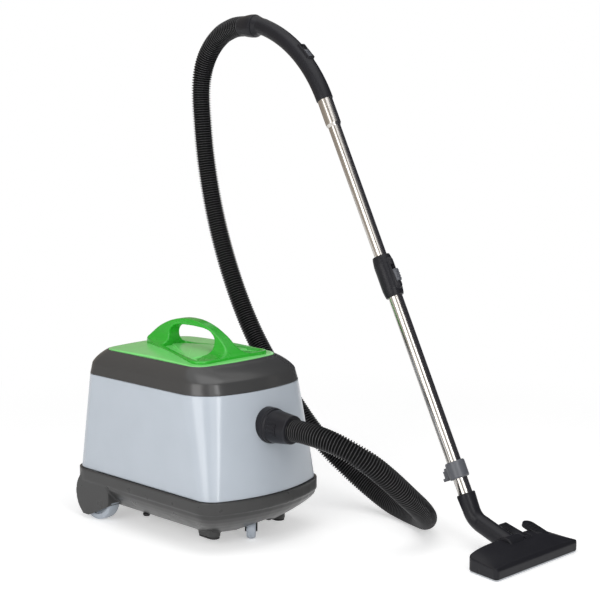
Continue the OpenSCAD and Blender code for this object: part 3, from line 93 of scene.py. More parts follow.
# %% Hose: its route
# The route's points are in the body's own axes, whose origin lies here in the frame
BODY_ORIGIN = Vector((0.1235, -0.240, 0.0))
HOSE_ROUTE = [
    (0, -0.270, 0.262), (0, -0.290, 0.262), (0, -0.312, 0.262), (0, -0.334, 0.262),
    (0.004, -0.375, 0.258),
    (0.016, -0.414, 0.247), (0.035, -0.447, 0.229), (0.062, -0.472, 0.203), (0.098, -0.489, 0.168),
    (0.140, -0.497, 0.129), (0.190, -0.490, 0.091), (0.240, -0.465, 0.058), (0.285, -0.425, 0.034),
    (0.315, -0.378, 0.024), (0.331, -0.328, 0.023), (0.337, -0.280, 0.030), (0.334, -0.232, 0.050),
    (0.322, -0.183, 0.081), (0.304, -0.137, 0.120), (0.289, -0.095, 0.160), (0.281, -0.050, 0.203),
    (0.279, 0.030, 0.283), (0.279, 0.105, 0.367), (0.279, 0.165, 0.458), (0.279, 0.218, 0.566),
    (0.279, 0.259, 0.680), (0.279, 0.287, 0.800), (0.279, 0.300, 0.905), (0.279, 0.303, 0.965),
    (0.279, 0.297, 1.009), (0.279, 0.282, 1.046), (0.279, 0.257, 1.078), (0.279, 0.224, 1.103),
    (0.279, 0.190, 1.116), (0.279, 0.171, 1.120), (0.279, 0.150, 1.121), (0.279, 0.129, 1.121),
    (0.279, 0.107, 1.121),
]
# Pieces of curve between each two points of the route
CURVE_STEPS = 12


def smooth_line(points, steps):
    """A Catmull-Rom curve through points, with steps pieces between each two."""
    p = np.array(points)
    p = np.vstack([2 * p[0] - p[1], p, 2 * p[-1] - p[-2]])
    line = []
    for a, b, c, d in zip(p, p[1:], p[2:], p[3:]):
        for k in range(steps):
            t = k / steps
            line.append(0.5 * (2 * b + (c - a) * t + (2 * a - 5 * b + 4 * c - d) * t * t
                               + (3 * b - a - 3 * c + d) * t ** 3))
    return np.array(line + [p[-2]])


hose_line = smooth_line([Vector(p) - BODY_ORIGIN for p in HOSE_ROUTE], CURVE_STEPS)
hose_run = np.concatenate([[0], np.cumsum(np.linalg.norm(np.diff(hose_line, axis=0), axis=1))])
HOSE_LENGTH = float(hose_run[-1])
print("hose length in metres:", round(HOSE_LENGTH, 3))

# %% Rings and tubes
# A ring faces along the line through two points this far ahead of it and behind it
HEADING_REACH = 4 * MM


def mesh_piece(name, verts, faces):
    """A new smooth-shaded object from points and faces."""
    mesh = bpy.data.meshes.new(name)
    mesh.from_pydata([tuple(v) for v in verts], [], faces)
    mesh.update()
    mesh.polygons.foreach_set("use_smooth", [True] * len(mesh.polygons))
    piece = bpy.data.objects.new(name, mesh)
    scene.collection.objects.link(piece)
    return piece


def points_along(line, run, distances):
    """Points on a line at distances along it, where run is the distance at each of its own points."""
    return np.column_stack([np.interp(distances, run, line[:, k]) for k in range(3)])


def swept_rings(line, run, stations, radii, sides):
    """Rings of points round a line at distances along it, turned with the line but not twisted."""
    centres = points_along(line, run, stations)
    ahead = points_along(line, run, stations + HEADING_REACH)
    behind = points_along(line, run, stations - HEADING_REACH)
    headings = ahead - behind
    headings /= np.linalg.norm(headings, axis=1)[:, None]
    side = np.array([1.0, 0.0, 0.0])
    angles = np.arange(sides) * 2 * math.pi / sides
    rings = []
    for centre, heading, radius in zip(centres, headings, radii):
        side = side - heading * (side @ heading)
        side /= np.linalg.norm(side)
        up = np.cross(heading, side)
        rings.append(centre + radius * (np.outer(np.cos(angles), side) + np.outer(np.sin(angles), up)))
    return rings


def ring_faces(rows, count, closed=False):
    """Quads between each ring of count points and the next; closed joins the last to the first."""
    faces = []
    for i in range(rows if closed else rows - 1):
        j = (i + 1) % rows
        for k in range(count):
            n = (k + 1) % count
            faces.append((i * count + k, i * count + n, j * count + n, j * count + k))
    return faces


def capped_faces(rows, count):
    """Quads between each ring and the next, with one flat face over each end."""
    last = (rows - 1) * count
    return ring_faces(rows, count) + [tuple(range(count))[::-1], tuple(last + k for k in range(count))]


# %% Hose: its ribs and bore
HOSE_R = 24 * MM
HOSE_BORE_R = 18 * MM
HOSE_SIDES = 28
BORE_RINGS = 220
RIB_DEPTH = 4.4 * MM
RIB_COUNT = 352
# One rib, as shares of its pitch and of its depth: a wide groove and a narrow round crest
RIB_SHAPE = [(0.0, 0.0), (0.22, 0.06), (0.38, 0.78), (0.5, 1.0), (0.62, 0.78), (0.78, 0.06)]
# The steps of that list, from one ring to the next, that are the crest. Its faces get a glossier finish
# painted a lighter grey, a painted highlight along each rib.
CREST_STEPS = (2, 3)

pitch = HOSE_LENGTH / RIB_COUNT
out_at = [(i + share) * pitch for i in range(RIB_COUNT) for share, _ in RIB_SHAPE]
out_r = [HOSE_R - RIB_DEPTH * (1 - rise) for _ in range(RIB_COUNT) for _, rise in RIB_SHAPE]
out_at.append(HOSE_LENGTH)
out_r.append(HOSE_R - RIB_DEPTH)
outer = swept_rings(hose_line, hose_run, np.array(out_at), out_r, HOSE_SIDES)
bore_at = np.linspace(0, HOSE_LENGTH, BORE_RINGS)
bore = swept_rings(hose_line, hose_run, bore_at, [HOSE_BORE_R] * BORE_RINGS, HOSE_SIDES)
rings = outer + bore[::-1]
hose = mesh_piece("ribbed_hose", np.vstack(rings), ring_faces(len(rings), HOSE_SIDES, closed=True))
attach(hose, "root")
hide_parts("hose")
print("hose faces:", len(hose.data.polygons))

# %% [markdown]
# ## Finishes
# Each finish starts from what the real piece is made of and from how its surface was made.
# A pattern of noise nodes then gives it the small unevenness that tells the eye its material.
# Object coordinates are metres here, so a pattern's scale is one over its size in metres.

# %% Colour and node helpers


def linear(hex_colour):
    """An sRGB hex colour as linear RGBA."""
    channels = [int(hex_colour[i:i + 2], 16) / 255 for i in (1, 3, 5)]
    return tuple(c / 12.92 if c <= 0.04045 else ((c + 0.055) / 1.055) ** 2.4 for c in channels) + (1.0,)


def add_node(tree, kind, settings=(), inputs=()):
    """One node with its settings, and its sockets filled with values or linked to other nodes' outputs."""
    node = tree.nodes.new(kind)
    for name, value in dict(settings).items():
        setattr(node, name, value)
    for name, value in dict(inputs).items():
        if isinstance(value, bpy.types.NodeSocket):
            tree.links.new(value, node.inputs[name])
        else:
            node.inputs[name].default_value = value
    return node


def new_material(name):
    """An empty node material, its tree and its output node."""
    material = bpy.data.materials.new(name)
    material.use_nodes = True
    material.node_tree.nodes.clear()
    output = add_node(material.node_tree, "ShaderNodeOutputMaterial")
    return material, material.node_tree, output


# %% [markdown]
# ### Plastics and rubber
# Most of the machine is injection-moulded plastic. ABS and polypropylene differ in gloss, in
# colour and in the grain that the mould leaves, so one function makes them all from those facts.
# A moulding is never quite even: its tone drifts slowly and its gloss comes in patches.
# Real grain is about a tenth of a millimetre, too fine to show on a whole machine, so it is drawn
# about a millimetre wide. The flow waves of a polished moulding are drawn at their own 9 mm.

# %% Moulded plastics
TONE_DRIFT_MM = 70
GLOSS_PATCH_MM = 30
GLOSS_SPREAD = 0.12
IOR = {"ABS": 1.54, "PP": 1.49, "acetal": 1.48, "EVA": 1.48, "rubber": 1.52, "enamel": 1.5}


def moulded(name, colour, shade, roughness, ior, grain_mm, grain_depth_mm, specular=0.5):
    """Injection-moulded plastic: a slow drift of tone, patches of gloss, and the mould's grain."""
    material, tree, output = new_material(name)
    place = add_node(tree, "ShaderNodeTexCoord").outputs["Object"]
    drift = add_node(tree, "ShaderNodeTexNoise", inputs={
        "Vector": place, "Scale": 1 / (TONE_DRIFT_MM * MM), "Detail": 2.0})
    tone = add_node(tree, "ShaderNodeMix", {"data_type": "RGBA"}, {
        "Factor": drift.outputs["Fac"], "A": linear(shade), "B": linear(colour)})
    patches = add_node(tree, "ShaderNodeTexNoise", inputs={
        "Vector": place, "Scale": 1 / (GLOSS_PATCH_MM * MM), "Detail": 4.0})
    gloss = add_node(tree, "ShaderNodeMapRange", inputs={
        "Value": patches.outputs["Fac"], "From Min": 0.3, "From Max": 0.7,
        "To Min": roughness * (1 - GLOSS_SPREAD), "To Max": roughness * (1 + GLOSS_SPREAD)})
    grain = add_node(tree, "ShaderNodeTexNoise", inputs={
        "Vector": place, "Scale": 1 / (grain_mm * MM), "Detail": 3.0, "Roughness": 0.6})
    bump = add_node(tree, "ShaderNodeBump", inputs={
        "Height": grain.outputs["Fac"], "Distance": grain_depth_mm * MM, "Strength": 1.0})
    shader = add_node(tree, "ShaderNodeBsdfPrincipled", inputs={
        "Base Color": tone.outputs["Result"], "Roughness": gloss.outputs["Result"], "IOR": ior,
        "Specular IOR Level": specular, "Normal": bump.outputs["Normal"]})
    tree.links.new(shader.outputs["BSDF"], output.inputs["Surface"])
    return material


# Each line gives the name, the colour, its darker shade, the roughness, the IOR, and the grain's
# width and depth in mm. Some end with a strength for the mirror-like light, below the usual 0.5.
# ABS from a mirror-polished mould: a hard, even gloss with a trace of flow waves
shell_abs = moulded("grey_gloss_abs", "#BAC2CB", "#B4BCC5", 0.2, IOR["ABS"], 9, 0.012)
panel_abs = moulded("light_green_gloss_abs", "#84E882", "#7EE27C", 0.22, IOR["ABS"], 9, 0.012)
handle_abs = moulded("green_gloss_abs", "#30B430", "#2BAA2B", 0.26, IOR["ABS"], 9, 0.012)
# ABS from a sparked mould: a satin sheen with a fine grain
charcoal_abs = moulded("charcoal_satin_abs", "#444444", "#404040", 0.24, IOR["ABS"], 1.2, 0.006, 0.4)
base_abs = moulded("dark_charcoal_satin_abs", "#424242", "#3E3E3E", 0.3, IOR["ABS"], 1.2, 0.006, 0.25)
hook_abs = moulded("dark_grey_satin_abs", "#5E6066", "#585A60", 0.36, IOR["ABS"], 1.2, 0.02)
# Polypropylene (PP): a softer, waxy sheen
black_pp = moulded("black_satin_polypropylene", "#252529", "#212125", 0.34, IOR["PP"], 1.0, 0.008, 0.18)
wheel_pp = moulded("blue_grey_polypropylene", "#B6BEC8", "#B0B8C2", 0.38, IOR["PP"], 1.0, 0.02)
deck_pp = moulded("mid_grey_polypropylene", "#8F949A", "#898E94", 0.42, IOR["PP"], 1.2, 0.03)
# Acetal, a slippery plastic for moving pins: smooth and a little glossy
acetal = moulded("grey_acetal", "#989CA2", "#90949A", 0.3, IOR["acetal"], 1.5, 0.01)
# Extruded EVA: nearly black. The crests of the ribs are glossier and painted a lighter grey, a painted
# highlight along each rib
hose_eva = moulded("black_ribbed_eva", "#060607", "#040405", 0.55, IOR["EVA"], 1.4, 0.01, 0.12)
painted_crest_highlight = moulded("crest_gloss_with_painted_highlight", "#3C3C3E", "#363638", 0.16, IOR["EVA"], 1.4, 0.01)
# Moulded rubber: black with a broad soft highlight
rubber = moulded("black_moulded_rubber", "#202022", "#1A1A1C", 0.6, IOR["rubber"], 0.8, 0.05)
# Sprayed enamel on the motor's frame: dull, with a slight orange peel
painted_motor = moulded("painted_motor_frame", "#72767B", "#6A6E73", 0.45, IOR["enamel"], 2.0, 0.05)
print("body shell:", shell_abs.name, "| lid:", charcoal_abs.name, "| floor tool:", black_pp.name)

# %% [markdown]
# ### Metals
# The wand is drawn steel tube, polished and chromed. Drawing and polishing leave fine lines along
# it, so what it mirrors runs in long streaks. The pins are turned, the sole is brushed sheet and
# the motor's case is pressed aluminium. One function draws them all: a noise stretched along one
# axis sets the roughness and the height of the lines. Real lines are a few hundredths of a
# millimetre apart, so they are drawn one to three millimetres wide, as coarse as they need to show.

# %% Drawn and pressed metals


def drawn_metal(name, colour, roughness, line_mm, stretch, depth_mm=0.004, uneven=0.3):
    """Metal with fine lines left by drawing or polishing, as a noise stretched along one axis."""
    material, tree, output = new_material(name)
    place = add_node(tree, "ShaderNodeTexCoord").outputs["Object"]
    along = add_node(tree, "ShaderNodeMapping", inputs={"Vector": place, "Scale": stretch})
    lines = add_node(tree, "ShaderNodeTexNoise", inputs={
        "Vector": along.outputs["Vector"], "Scale": 1 / (line_mm * MM), "Detail": 2.0})
    gloss = add_node(tree, "ShaderNodeMapRange", inputs={
        "Value": lines.outputs["Fac"],
        "To Min": roughness * (1 - uneven), "To Max": roughness * (1 + uneven)})
    bump = add_node(tree, "ShaderNodeBump", inputs={
        "Height": lines.outputs["Fac"], "Distance": depth_mm * MM, "Strength": 1.0})
    shader = add_node(tree, "ShaderNodeBsdfPrincipled", inputs={
        "Base Color": linear(colour), "Metallic": 1.0, "Roughness": gloss.outputs["Result"],
        "Normal": bump.outputs["Normal"]})
    tree.links.new(shader.outputs["BSDF"], output.inputs["Surface"])
    return material


# Chromed tube: close to a mirror, with hardly any line left
chromed_steel = drawn_metal("chromed_steel_tube", "#CDC9C4", 0.2, 3.0, (1.0, 0.3, 0.15), 0.0002, 0.05)
# Turned pins: a fine satin shine
turned_steel = drawn_metal("turned_steel", "#B9BCC0", 0.3, 0.8, (0.2, 1.0, 1.0))
# Brushed sheet: long lines across the sole, which draw its highlight out sideways
pressed_steel = drawn_metal("brushed_pressed_steel", "#BFC2C6", 0.32, 0.8, (0.08, 1.0, 1.0))
# Pressed aluminium: dull and even, with no direction
pressed_aluminium = drawn_metal("pressed_aluminium", "#C3C6CA", 0.38, 2.0, (1.0, 1.0, 1.0))
print("wand:", chromed_steel.name)

# %% [markdown]
# ### Cloth, card and bristle
# The dust bag and the filters are non-woven fleece, the bag's collar is pressed card and the
# brushes are nylon. All are masses of fibres that scatter light, with no gloss to speak of.
# They are drawn as a stretched noise with a matt, slightly fuzzy surface. One fibre is a few
# hundredths of a millimetre thick, so the pattern stands for bundles of a few millimetres.

# %% Cloth, card and bristle


def fibrous(name, colour, shade, fibre_mm, depth_mm):
    """Non-woven cloth or card: matted fibres in two tones, without gloss."""
    material, tree, output = new_material(name)
    place = add_node(tree, "ShaderNodeTexCoord").outputs["Object"]
    squeezed = add_node(tree, "ShaderNodeMapping", inputs={"Vector": place, "Scale": (1.0, 0.35, 1.0)})
    fibres = add_node(tree, "ShaderNodeTexNoise", inputs={
        "Vector": squeezed.outputs["Vector"], "Scale": 1 / (fibre_mm * MM), "Detail": 5.0,
        "Distortion": 1.2})
    tone = add_node(tree, "ShaderNodeMix", {"data_type": "RGBA"}, {
        "Factor": fibres.outputs["Fac"], "A": linear(shade), "B": linear(colour)})
    bump = add_node(tree, "ShaderNodeBump", inputs={
        "Height": fibres.outputs["Fac"], "Distance": depth_mm * MM, "Strength": 1.0})
    shader = add_node(tree, "ShaderNodeBsdfPrincipled", inputs={
        "Base Color": tone.outputs["Result"], "Roughness": 0.85, "Sheen Weight": 0.2,
        "Normal": bump.outputs["Normal"]})
    tree.links.new(shader.outputs["BSDF"], output.inputs["Surface"])
    return material


# Fleece: warm white and soft for the bag, cooler and finer for the filters
bag_fleece = fibrous("dust_bag_fleece", "#EAE5D9", "#D9D2C2", 4, 0.4)
filter_fleece = fibrous("filter_fleece", "#E2E2DE", "#CFCFCA", 3, 0.4)
# Pressed card: flat tan, flecked by its fibres
tan_card = fibrous("pressed_card", "#CBA56D", "#BC955C", 2, 0.15)
# Nylon bristle: nearly black, with random darker patches, a painted shade for the gaps between its tufts
nylon_bristle = fibrous("nylon_bristle", "#1B1B1C", "#0D0D0E", 1.5, 0.4)
print("dust bag:", bag_fleece.name)

# %% [markdown]
# ### Putting the finishes on
# Each part of the frame names a slot, which is the material that it is made of. A table says
# which finish stands for each slot. Only the hose has two: its crests are set apart by face, and get a
# glossier finish painted lighter, a painted highlight.

# %% Finishes onto the parts
SLOT_FINISH = {
    "shell_grey": shell_abs, "charcoal_plastic": charcoal_abs, "panel_green": panel_abs,
    "handle_green": handle_abs, "black_plastic": black_pp, "hose_black": hose_eva,
    "wheel_grey": wheel_pp, "hook_grey": hook_abs, "tube_steel": chromed_steel,
    "pin_steel": turned_steel, "soft_rubber": rubber, "motor_metal": pressed_aluminium,
    "motor_dark": painted_motor, "filter_cloth": filter_fleece, "bag_cloth": bag_fleece,
    "card_board": tan_card, "deck_grey": deck_pp, "sole_metal": pressed_steel,
    "bristle_black": nylon_bristle, "cap_grey": acetal,
}
node_slot = {part["node"]: part["material_slot"] for part in frame["record"]["subparts"]}
for name, part in nodes.items():
    part.data.materials.clear()
    part.data.materials.append(SLOT_FINISH[node_slot[name]])
hose.data.materials.append(hose_eva)
hose.data.materials.append(painted_crest_highlight)
# The crest faces take the second finish, whose lighter grey is a painted highlight along each rib
crests = np.zeros(len(hose.data.polygons), dtype=np.int32)
for rib in range(RIB_COUNT):
    for step in CREST_STEPS:
        first = (rib * len(RIB_SHAPE) + step) * HOSE_SIDES
        crests[first:first + HOSE_SIDES] = 1
hose.data.polygons.foreach_set("material_index", crests)
print("finishes:", len(set(SLOT_FINISH.values())))

# %% [markdown]
# ## The moulded shells
# The body shell, the lid and the base are plan outlines stacked up the height: straight sides,
# a bowed front and round corners. A CAD hull of them is faceted, and gloss shows every facet.
# So the shell and the lid are lofted here with many more steps round each corner, and with the
# millimetre of radius that a mould leaves on every edge. That radius is what catches the light.

# %% Plan outlines
# The shell at its foot, in the body's own axes. It leans in on its way up to the rim.
SHELL_HALF_W = 167 * MM
SHELL_FRONT = 206 * MM
SHELL_REAR = 249 * MM
SHELL_BOW = 44 * MM
SHELL_CORNER_R = 46 * MM
REAR_CORNER_R = 41 * MM
SIDE_LEAN = 6.5 * MM
END_LEAN = 29 * MM
RIM_BOW = 35 * MM
RIM_CORNER_R = 86 * MM
WALL = 3 * MM
# The lid's locating rib hangs this far below the rim
RIB_DROP = 6 * MM
FOOT_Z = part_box("body_shell")[0].z
RIM_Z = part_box("lid_frame")[0].z + RIB_DROP
SHELL_H = RIM_Z - FOOT_Z
# Steps round each rear corner, round each front corner and along the bowed front
REAR_STEPS = 16
CORNER_STEPS = 24
FRONT_STEPS = 32


def arc_points(centre, radius, start, end, steps):
    """Points on an arc between two angles in degrees."""
    angles = np.radians(np.linspace(start, end, steps + 1))
    return np.column_stack([centre[0] + radius * np.cos(angles), centre[1] + radius * np.sin(angles)])


def plan(half_w, front, rear, bow, corner, rear_r, grow=0.0):
    """An outline from above: the rear corners, the left front corner, the bowed front, the right corner."""
    front_r = (half_w ** 2 + bow ** 2) / (2 * bow)
    front_cy = front_r - front - bow
    corner_x = half_w - corner
    corner_cy = front_cy - math.sqrt((front_r - corner) ** 2 - corner_x ** 2)
    turn = math.degrees(math.atan2(corner_x, front_cy - corner_cy))
    return np.vstack([
        arc_points((half_w - rear_r, rear - rear_r), rear_r + grow, 0, 90, REAR_STEPS),
        arc_points((-half_w + rear_r, rear - rear_r), rear_r + grow, 90, 180, REAR_STEPS),
        arc_points((-corner_x, corner_cy), corner + grow, 180, 270 - turn, CORNER_STEPS),
        arc_points((0, front_cy), front_r + grow, 270 - turn, 270 + turn, FRONT_STEPS)[1:-1],
        arc_points((corner_x, corner_cy), corner + grow, 270 + turn, 360, CORNER_STEPS)])


def shell_plan(z, grow=0.0):
    """The shell's outline at a height."""
    up = (z - FOOT_Z) / SHELL_H
    bow = SHELL_BOW + (RIM_BOW - SHELL_BOW) * up
    corner = SHELL_CORNER_R + (RIM_CORNER_R - SHELL_CORNER_R) * up
    return plan(SHELL_HALF_W - SIDE_LEAN * up, SHELL_FRONT - END_LEAN * up, SHELL_REAR - END_LEAN * up,
                bow, corner, REAR_CORNER_R, grow)


def lofted(name, levels, closed=False):
    """A skin over (outline, height) pairs. An open one is capped at both ends."""
    rings = [np.column_stack([outline, np.broadcast_to(z, len(outline))]) - np.array(BODY_ORIGIN)
             for outline, z in levels]
    count = len(rings[0])
    faces = ring_faces(len(rings), count, closed=True) if closed else capped_faces(len(rings), count)
    return mesh_piece(name, np.vstack(rings), faces)


def face_outward(piece):
    """Turns every face of a closed piece outward."""
    work = bmesh.new()
    work.from_mesh(piece.data)
    bmesh.ops.recalc_face_normals(work, faces=work.faces)
    work.to_mesh(piece.data)
    work.free()


def dressed(piece, body, finish, *stands_for):
    """Puts a finish on a piece, lets it ride on a body and stand for the frame's own parts."""
    face_outward(piece)
    piece.data.materials.clear()
    piece.data.materials.append(SLOT_FINISH[finish])
    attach(piece, body)
    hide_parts(*stands_for)


# %% Body shell
# A quarter round edge as shares of its radius: (along the wall, in from the face)
EDGE = [(0.0, 1.0), (0.08, 0.62), (0.29, 0.29), (0.62, 0.08), (1.0, 0.0)]
EDGE_R = 1.4 * MM
INNER_EDGE = 0.4 * MM
shell_levels = [(FOOT_Z + a * EDGE_R, -b * EDGE_R) for a, b in EDGE]
shell_levels += [(FOOT_Z + SHELL_H * share, 0) for share in (0.02, 0.25, 0.5, 0.75, 0.98)]
shell_levels += [(RIM_Z - a * EDGE_R, -b * EDGE_R) for a, b in EDGE[::-1]]
shell_levels += [(RIM_Z, -WALL + INNER_EDGE), (RIM_Z - INNER_EDGE, -WALL)]
shell_levels += [(FOOT_Z + SHELL_H * share, -WALL) for share in (0.98, 0.5, 0.02)]
shell_levels += [(FOOT_Z + INNER_EDGE, -WALL), (FOOT_Z, -WALL + INNER_EDGE)]
body_shell = lofted("moulded_body_shell", [(shell_plan(z, grow), z) for z, grow in shell_levels], closed=True)
dressed(body_shell, "root", "shell_grey", "body_shell")
print("body shell height in mm:", round(SHELL_H / MM, 1))

# %% [markdown]
# ### The lid
# The lid is one charcoal frame with a green panel let into its top. A band with a slight lean runs
# round its foot. Over a soft crease its sides turn in, steeper towards the panel, so its outline is
# a mix of the rim's and the panel's outlines at every height. The profile is followed all the way
# round in one path: up the outside, over the edge of the panel, down into the recess, and inside
# again past the rib that locates it on the body. A path like this keeps the wall thickness honest,
# so the lid still looks right when it is open.

# %% Lid frame
GAP = 0.3 * MM
LID_FOOT = RIM_Z + GAP
LID_H = 53 * MM
LID_STEPS = 22
# The crease's height, and how far the outline has gone towards the panel there, as shares
CREASE_UP = 0.47
CREASE_IN = 0.14
# Above the crease a straight part and a curved part, in these shares, make the profile
STRAIGHT_SHARE = 0.55
CURVED_SHARE = 0.45
CURVE_POWER = 2.2
PANEL_Z = LID_FOOT + LID_H
PANEL_RECESS = 3 * MM
PANEL_EDGE = 3 * MM
PANEL_HALF_W = 122 * MM
PANEL_FRONT = 128 * MM
PANEL_REAR = 196 * MM
PANEL_BOW = 14 * MM
PANEL_CORNER_R = 34 * MM
PANEL_SHAPE = (PANEL_HALF_W, PANEL_FRONT, PANEL_REAR, PANEL_BOW, PANEL_CORNER_R, PANEL_CORNER_R)
# The edge round the panel and the rib inside the foot, as (in from the outline, up) in mm
PANEL_LIP = [(0.1, -0.5), (0.5, 0.0), (1.5, 0.2), (2.4, -0.1), (2.8, -0.9)]
LOCATING_RIB = [(3, 5), (12, 5), (12, 0), (10, 0), (10, -6.3), (7.4, -6.3), (7.4, 0)]
# The step of the profile at which the inner face of the wall ends above the rib
BACK_FROM = 4


def lid_plan(up, grow=0.0):
    """Outline of the lid at a share of its height: the shell's rim at 0, the rim of the panel at 1."""
    if up < CREASE_UP:
        share = CREASE_IN * up / CREASE_UP
    else:
        above = (up - CREASE_UP) / (1 - CREASE_UP)
        share = CREASE_IN + (1 - CREASE_IN) * (STRAIGHT_SHARE * above + CURVED_SHARE * above ** CURVE_POWER)
    return shell_plan(RIM_Z, grow) * (1 - share) + plan(*PANEL_SHAPE, PANEL_EDGE + grow) * share


foot_edge = [(lid_plan(0, -b * EDGE_R), LID_FOOT + a * EDGE_R) for a, b in EDGE]
sides = [(lid_plan(i / LID_STEPS), LID_FOOT + LID_H * i / LID_STEPS) for i in range(1, LID_STEPS)]
top_edge = [(lid_plan(1, -inward * MM), PANEL_Z + rise * MM) for inward, rise in PANEL_LIP]
recess = (lid_plan(1, -PANEL_LIP[-1][0] * MM), PANEL_Z - PANEL_RECESS)
ceiling = (lid_plan(1, -WALL), PANEL_Z - PANEL_RECESS - WALL)
back = [(lid_plan(i / LID_STEPS, -WALL), LID_FOOT + (LID_H - PANEL_RECESS - WALL) * i / LID_STEPS)
        for i in reversed(range(BACK_FROM, LID_STEPS))]
rib = [(lid_plan(0, -inward * MM), LID_FOOT + rise * MM) for inward, rise in LOCATING_RIB]
lid_frame = lofted("moulded_lid_frame", [ceiling] + back + rib + foot_edge + sides + top_edge + [recess])
dressed(lid_frame, "lid", "charcoal_plastic", "lid_frame")
print("top of the lid in mm:", round(PANEL_Z / MM, 1))

# %% [markdown]
# ### The lid's panel
# The green panel is a slab that drops into the lid's recess. Its top is slightly crowned, like
# part of a very large ball, so that light slides over it instead of lying flat. A single face
# can't be crowned. So rings of the outline shrink towards the middle, each at its own height, and
# the outline's long straight edges are cut up first, so that the rings stay round in between.

# %% Lid panel
PANEL_MIDDLE = np.array([0.0, (PANEL_REAR - PANEL_FRONT) / 2])
PANEL_CROWN = 8 * MM
PANEL_TOP_EDGE_R = 1.5 * MM
LONGEST_EDGE = 5 * MM
CROWN_HALF = math.hypot(PANEL_HALF_W, (PANEL_REAR + PANEL_FRONT) / 2)
CROWN_R = (CROWN_HALF ** 2 + PANEL_CROWN ** 2) / (2 * PANEL_CROWN)
# Sizes of the rings that close a crowned top, from its edge to its middle
INWARD_RINGS = (0.96, 0.85, 0.7, 0.55, 0.4, 0.25, 0.12, 0.03)


def crowned(outline, middle, top, radius, drop=0.0):
    """Heights of an outline's points on a shallow ball whose top is over middle."""
    reach = np.linalg.norm(outline - middle, axis=1)
    return top - reach ** 2 / (2 * radius) - drop


def divided(outline, counts):
    """An outline with each of its edges cut into a number of equal parts."""
    points = []
    for start, end, parts in zip(outline, np.roll(outline, -1, axis=0), counts):
        points += [start + (end - start) * i / parts for i in range(parts)]
    return np.array(points)


def crowned_slab(name, outline_at, middle, top, radius, foot_z, edge_r):
    """A slab with upright sides, a round top edge and a crowned top that closes in its middle."""
    edges = np.linalg.norm(np.roll(outline_at(0), -1, axis=0) - outline_at(0), axis=1)
    counts = np.maximum(1, np.ceil(edges / LONGEST_EDGE)).astype(int)
    levels = [(divided(outline_at(0), counts), foot_z)]
    for along, inward in EDGE[::-1]:
        ring = divided(outline_at(-inward * edge_r), counts)
        levels.append((ring, crowned(ring, middle, top, radius, along * edge_r)))
    inner_ring = divided(outline_at(-edge_r), counts)
    for share in INWARD_RINGS:
        ring = middle + (inner_ring - middle) * share
        levels.append((ring, crowned(ring, middle, top, radius)))
    return lofted(name, levels)


lid_panel = crowned_slab("moulded_lid_panel", lambda grow: plan(*PANEL_SHAPE, grow), PANEL_MIDDLE,
                         PANEL_Z + PANEL_CROWN, CROWN_R, PANEL_Z - PANEL_RECESS, PANEL_TOP_EDGE_R)
dressed(lid_panel, "lid", "panel_green", "lid_panel")
print("lid panel faces:", len(lid_panel.data.polygons))

# %% [markdown]
# ### The raised middle
# The handle's legs run out into a ring on the panel, and the panel rises a little inside it, which
# leaves room for fingers to go round the bar. The rise follows the inside of the ring, a tight
# band round three circles, and is cut off where the legs of the handle stand. It is one more
# crowned slab, with a softer edge than the panel's own.

# %% Raised middle of the panel
HANDLE_Y = 25 * MM
RING_HALF_W = 106 * MM
RING_HALF_LEN = 148 * MM
RING_FRONT_R = 28 * MM
RING_REAR_R = 22 * MM
RING_W = 13 * MM
HAND_Y = 10 * MM
HAND_LEN = 154 * MM
RISE = 12 * MM
RISE_CROWN_R = 1400 * MM
RISE_EDGE_R = 3 * MM


def round_hull(circles, steps=120):
    """The outline of a tight band round some circles, each (x, y, radius)."""
    points = []
    for angle in np.radians(np.arange(steps) * 360 / steps):
        out = np.array([math.cos(angle), math.sin(angle)])
        x, y, r = max(circles, key=lambda c: c[0] * out[0] + c[1] * out[1] + c[2])
        points.append((x + r * out[0], y + r * out[1]))
    return np.array(points)


def ring_outline(grow):
    """The ring that the handle stands on: narrow at the rear, wide at the front."""
    front_y = HANDLE_Y - RING_HALF_LEN + RING_FRONT_R
    side = RING_HALF_W - RING_FRONT_R
    return round_hull([(0, HANDLE_Y + RING_HALF_LEN - RING_REAR_R, RING_REAR_R + grow),
                       (-side, front_y, RING_FRONT_R + grow), (side, front_y, RING_FRONT_R + grow)])


def hand_outline(grow):
    """The ring's opening, cut off by the legs of the handle at both ends."""
    outline = ring_outline(grow - RING_W)
    reach = HAND_LEN / 2 + grow
    outline[:, 1] = np.clip(outline[:, 1], HAND_Y - reach, HAND_Y + reach)
    return outline


hump = crowned_slab("raised_panel_middle", hand_outline, np.array([0.0, HANDLE_Y]), PANEL_Z + RISE,
                    RISE_CROWN_R, PANEL_Z, RISE_EDGE_R)
dressed(hump, "lid", "panel_green")
print("raised middle faces:", len(hump.data.polygons))

# %% [markdown]
# ### The hinges
# Two hinges carry the lid. On each, two knuckles stand on the shell and one hangs from the lid
# between them. Each knuckle is a side outline, a tight band round a few circles, drawn out along
# the pin with a small radius at both ends.

# %% Hinge knuckles
HINGE_Y = SHELL_REAR - END_LEAN + 11 * MM
HINGE_Z = RIM_Z + 4 * MM
HINGE_X = 82 * MM
HINGE_LEN = 54 * MM
KNUCKLE_R = 7 * MM
KNUCKLE_STEPS = 48
KNUCKLE_EDGE = 1 * MM
# The outline draws in by a little less than the edge's length along the pin
KNUCKLE_EDGE_IN = 0.9
TIP_R = 1.2 * MM


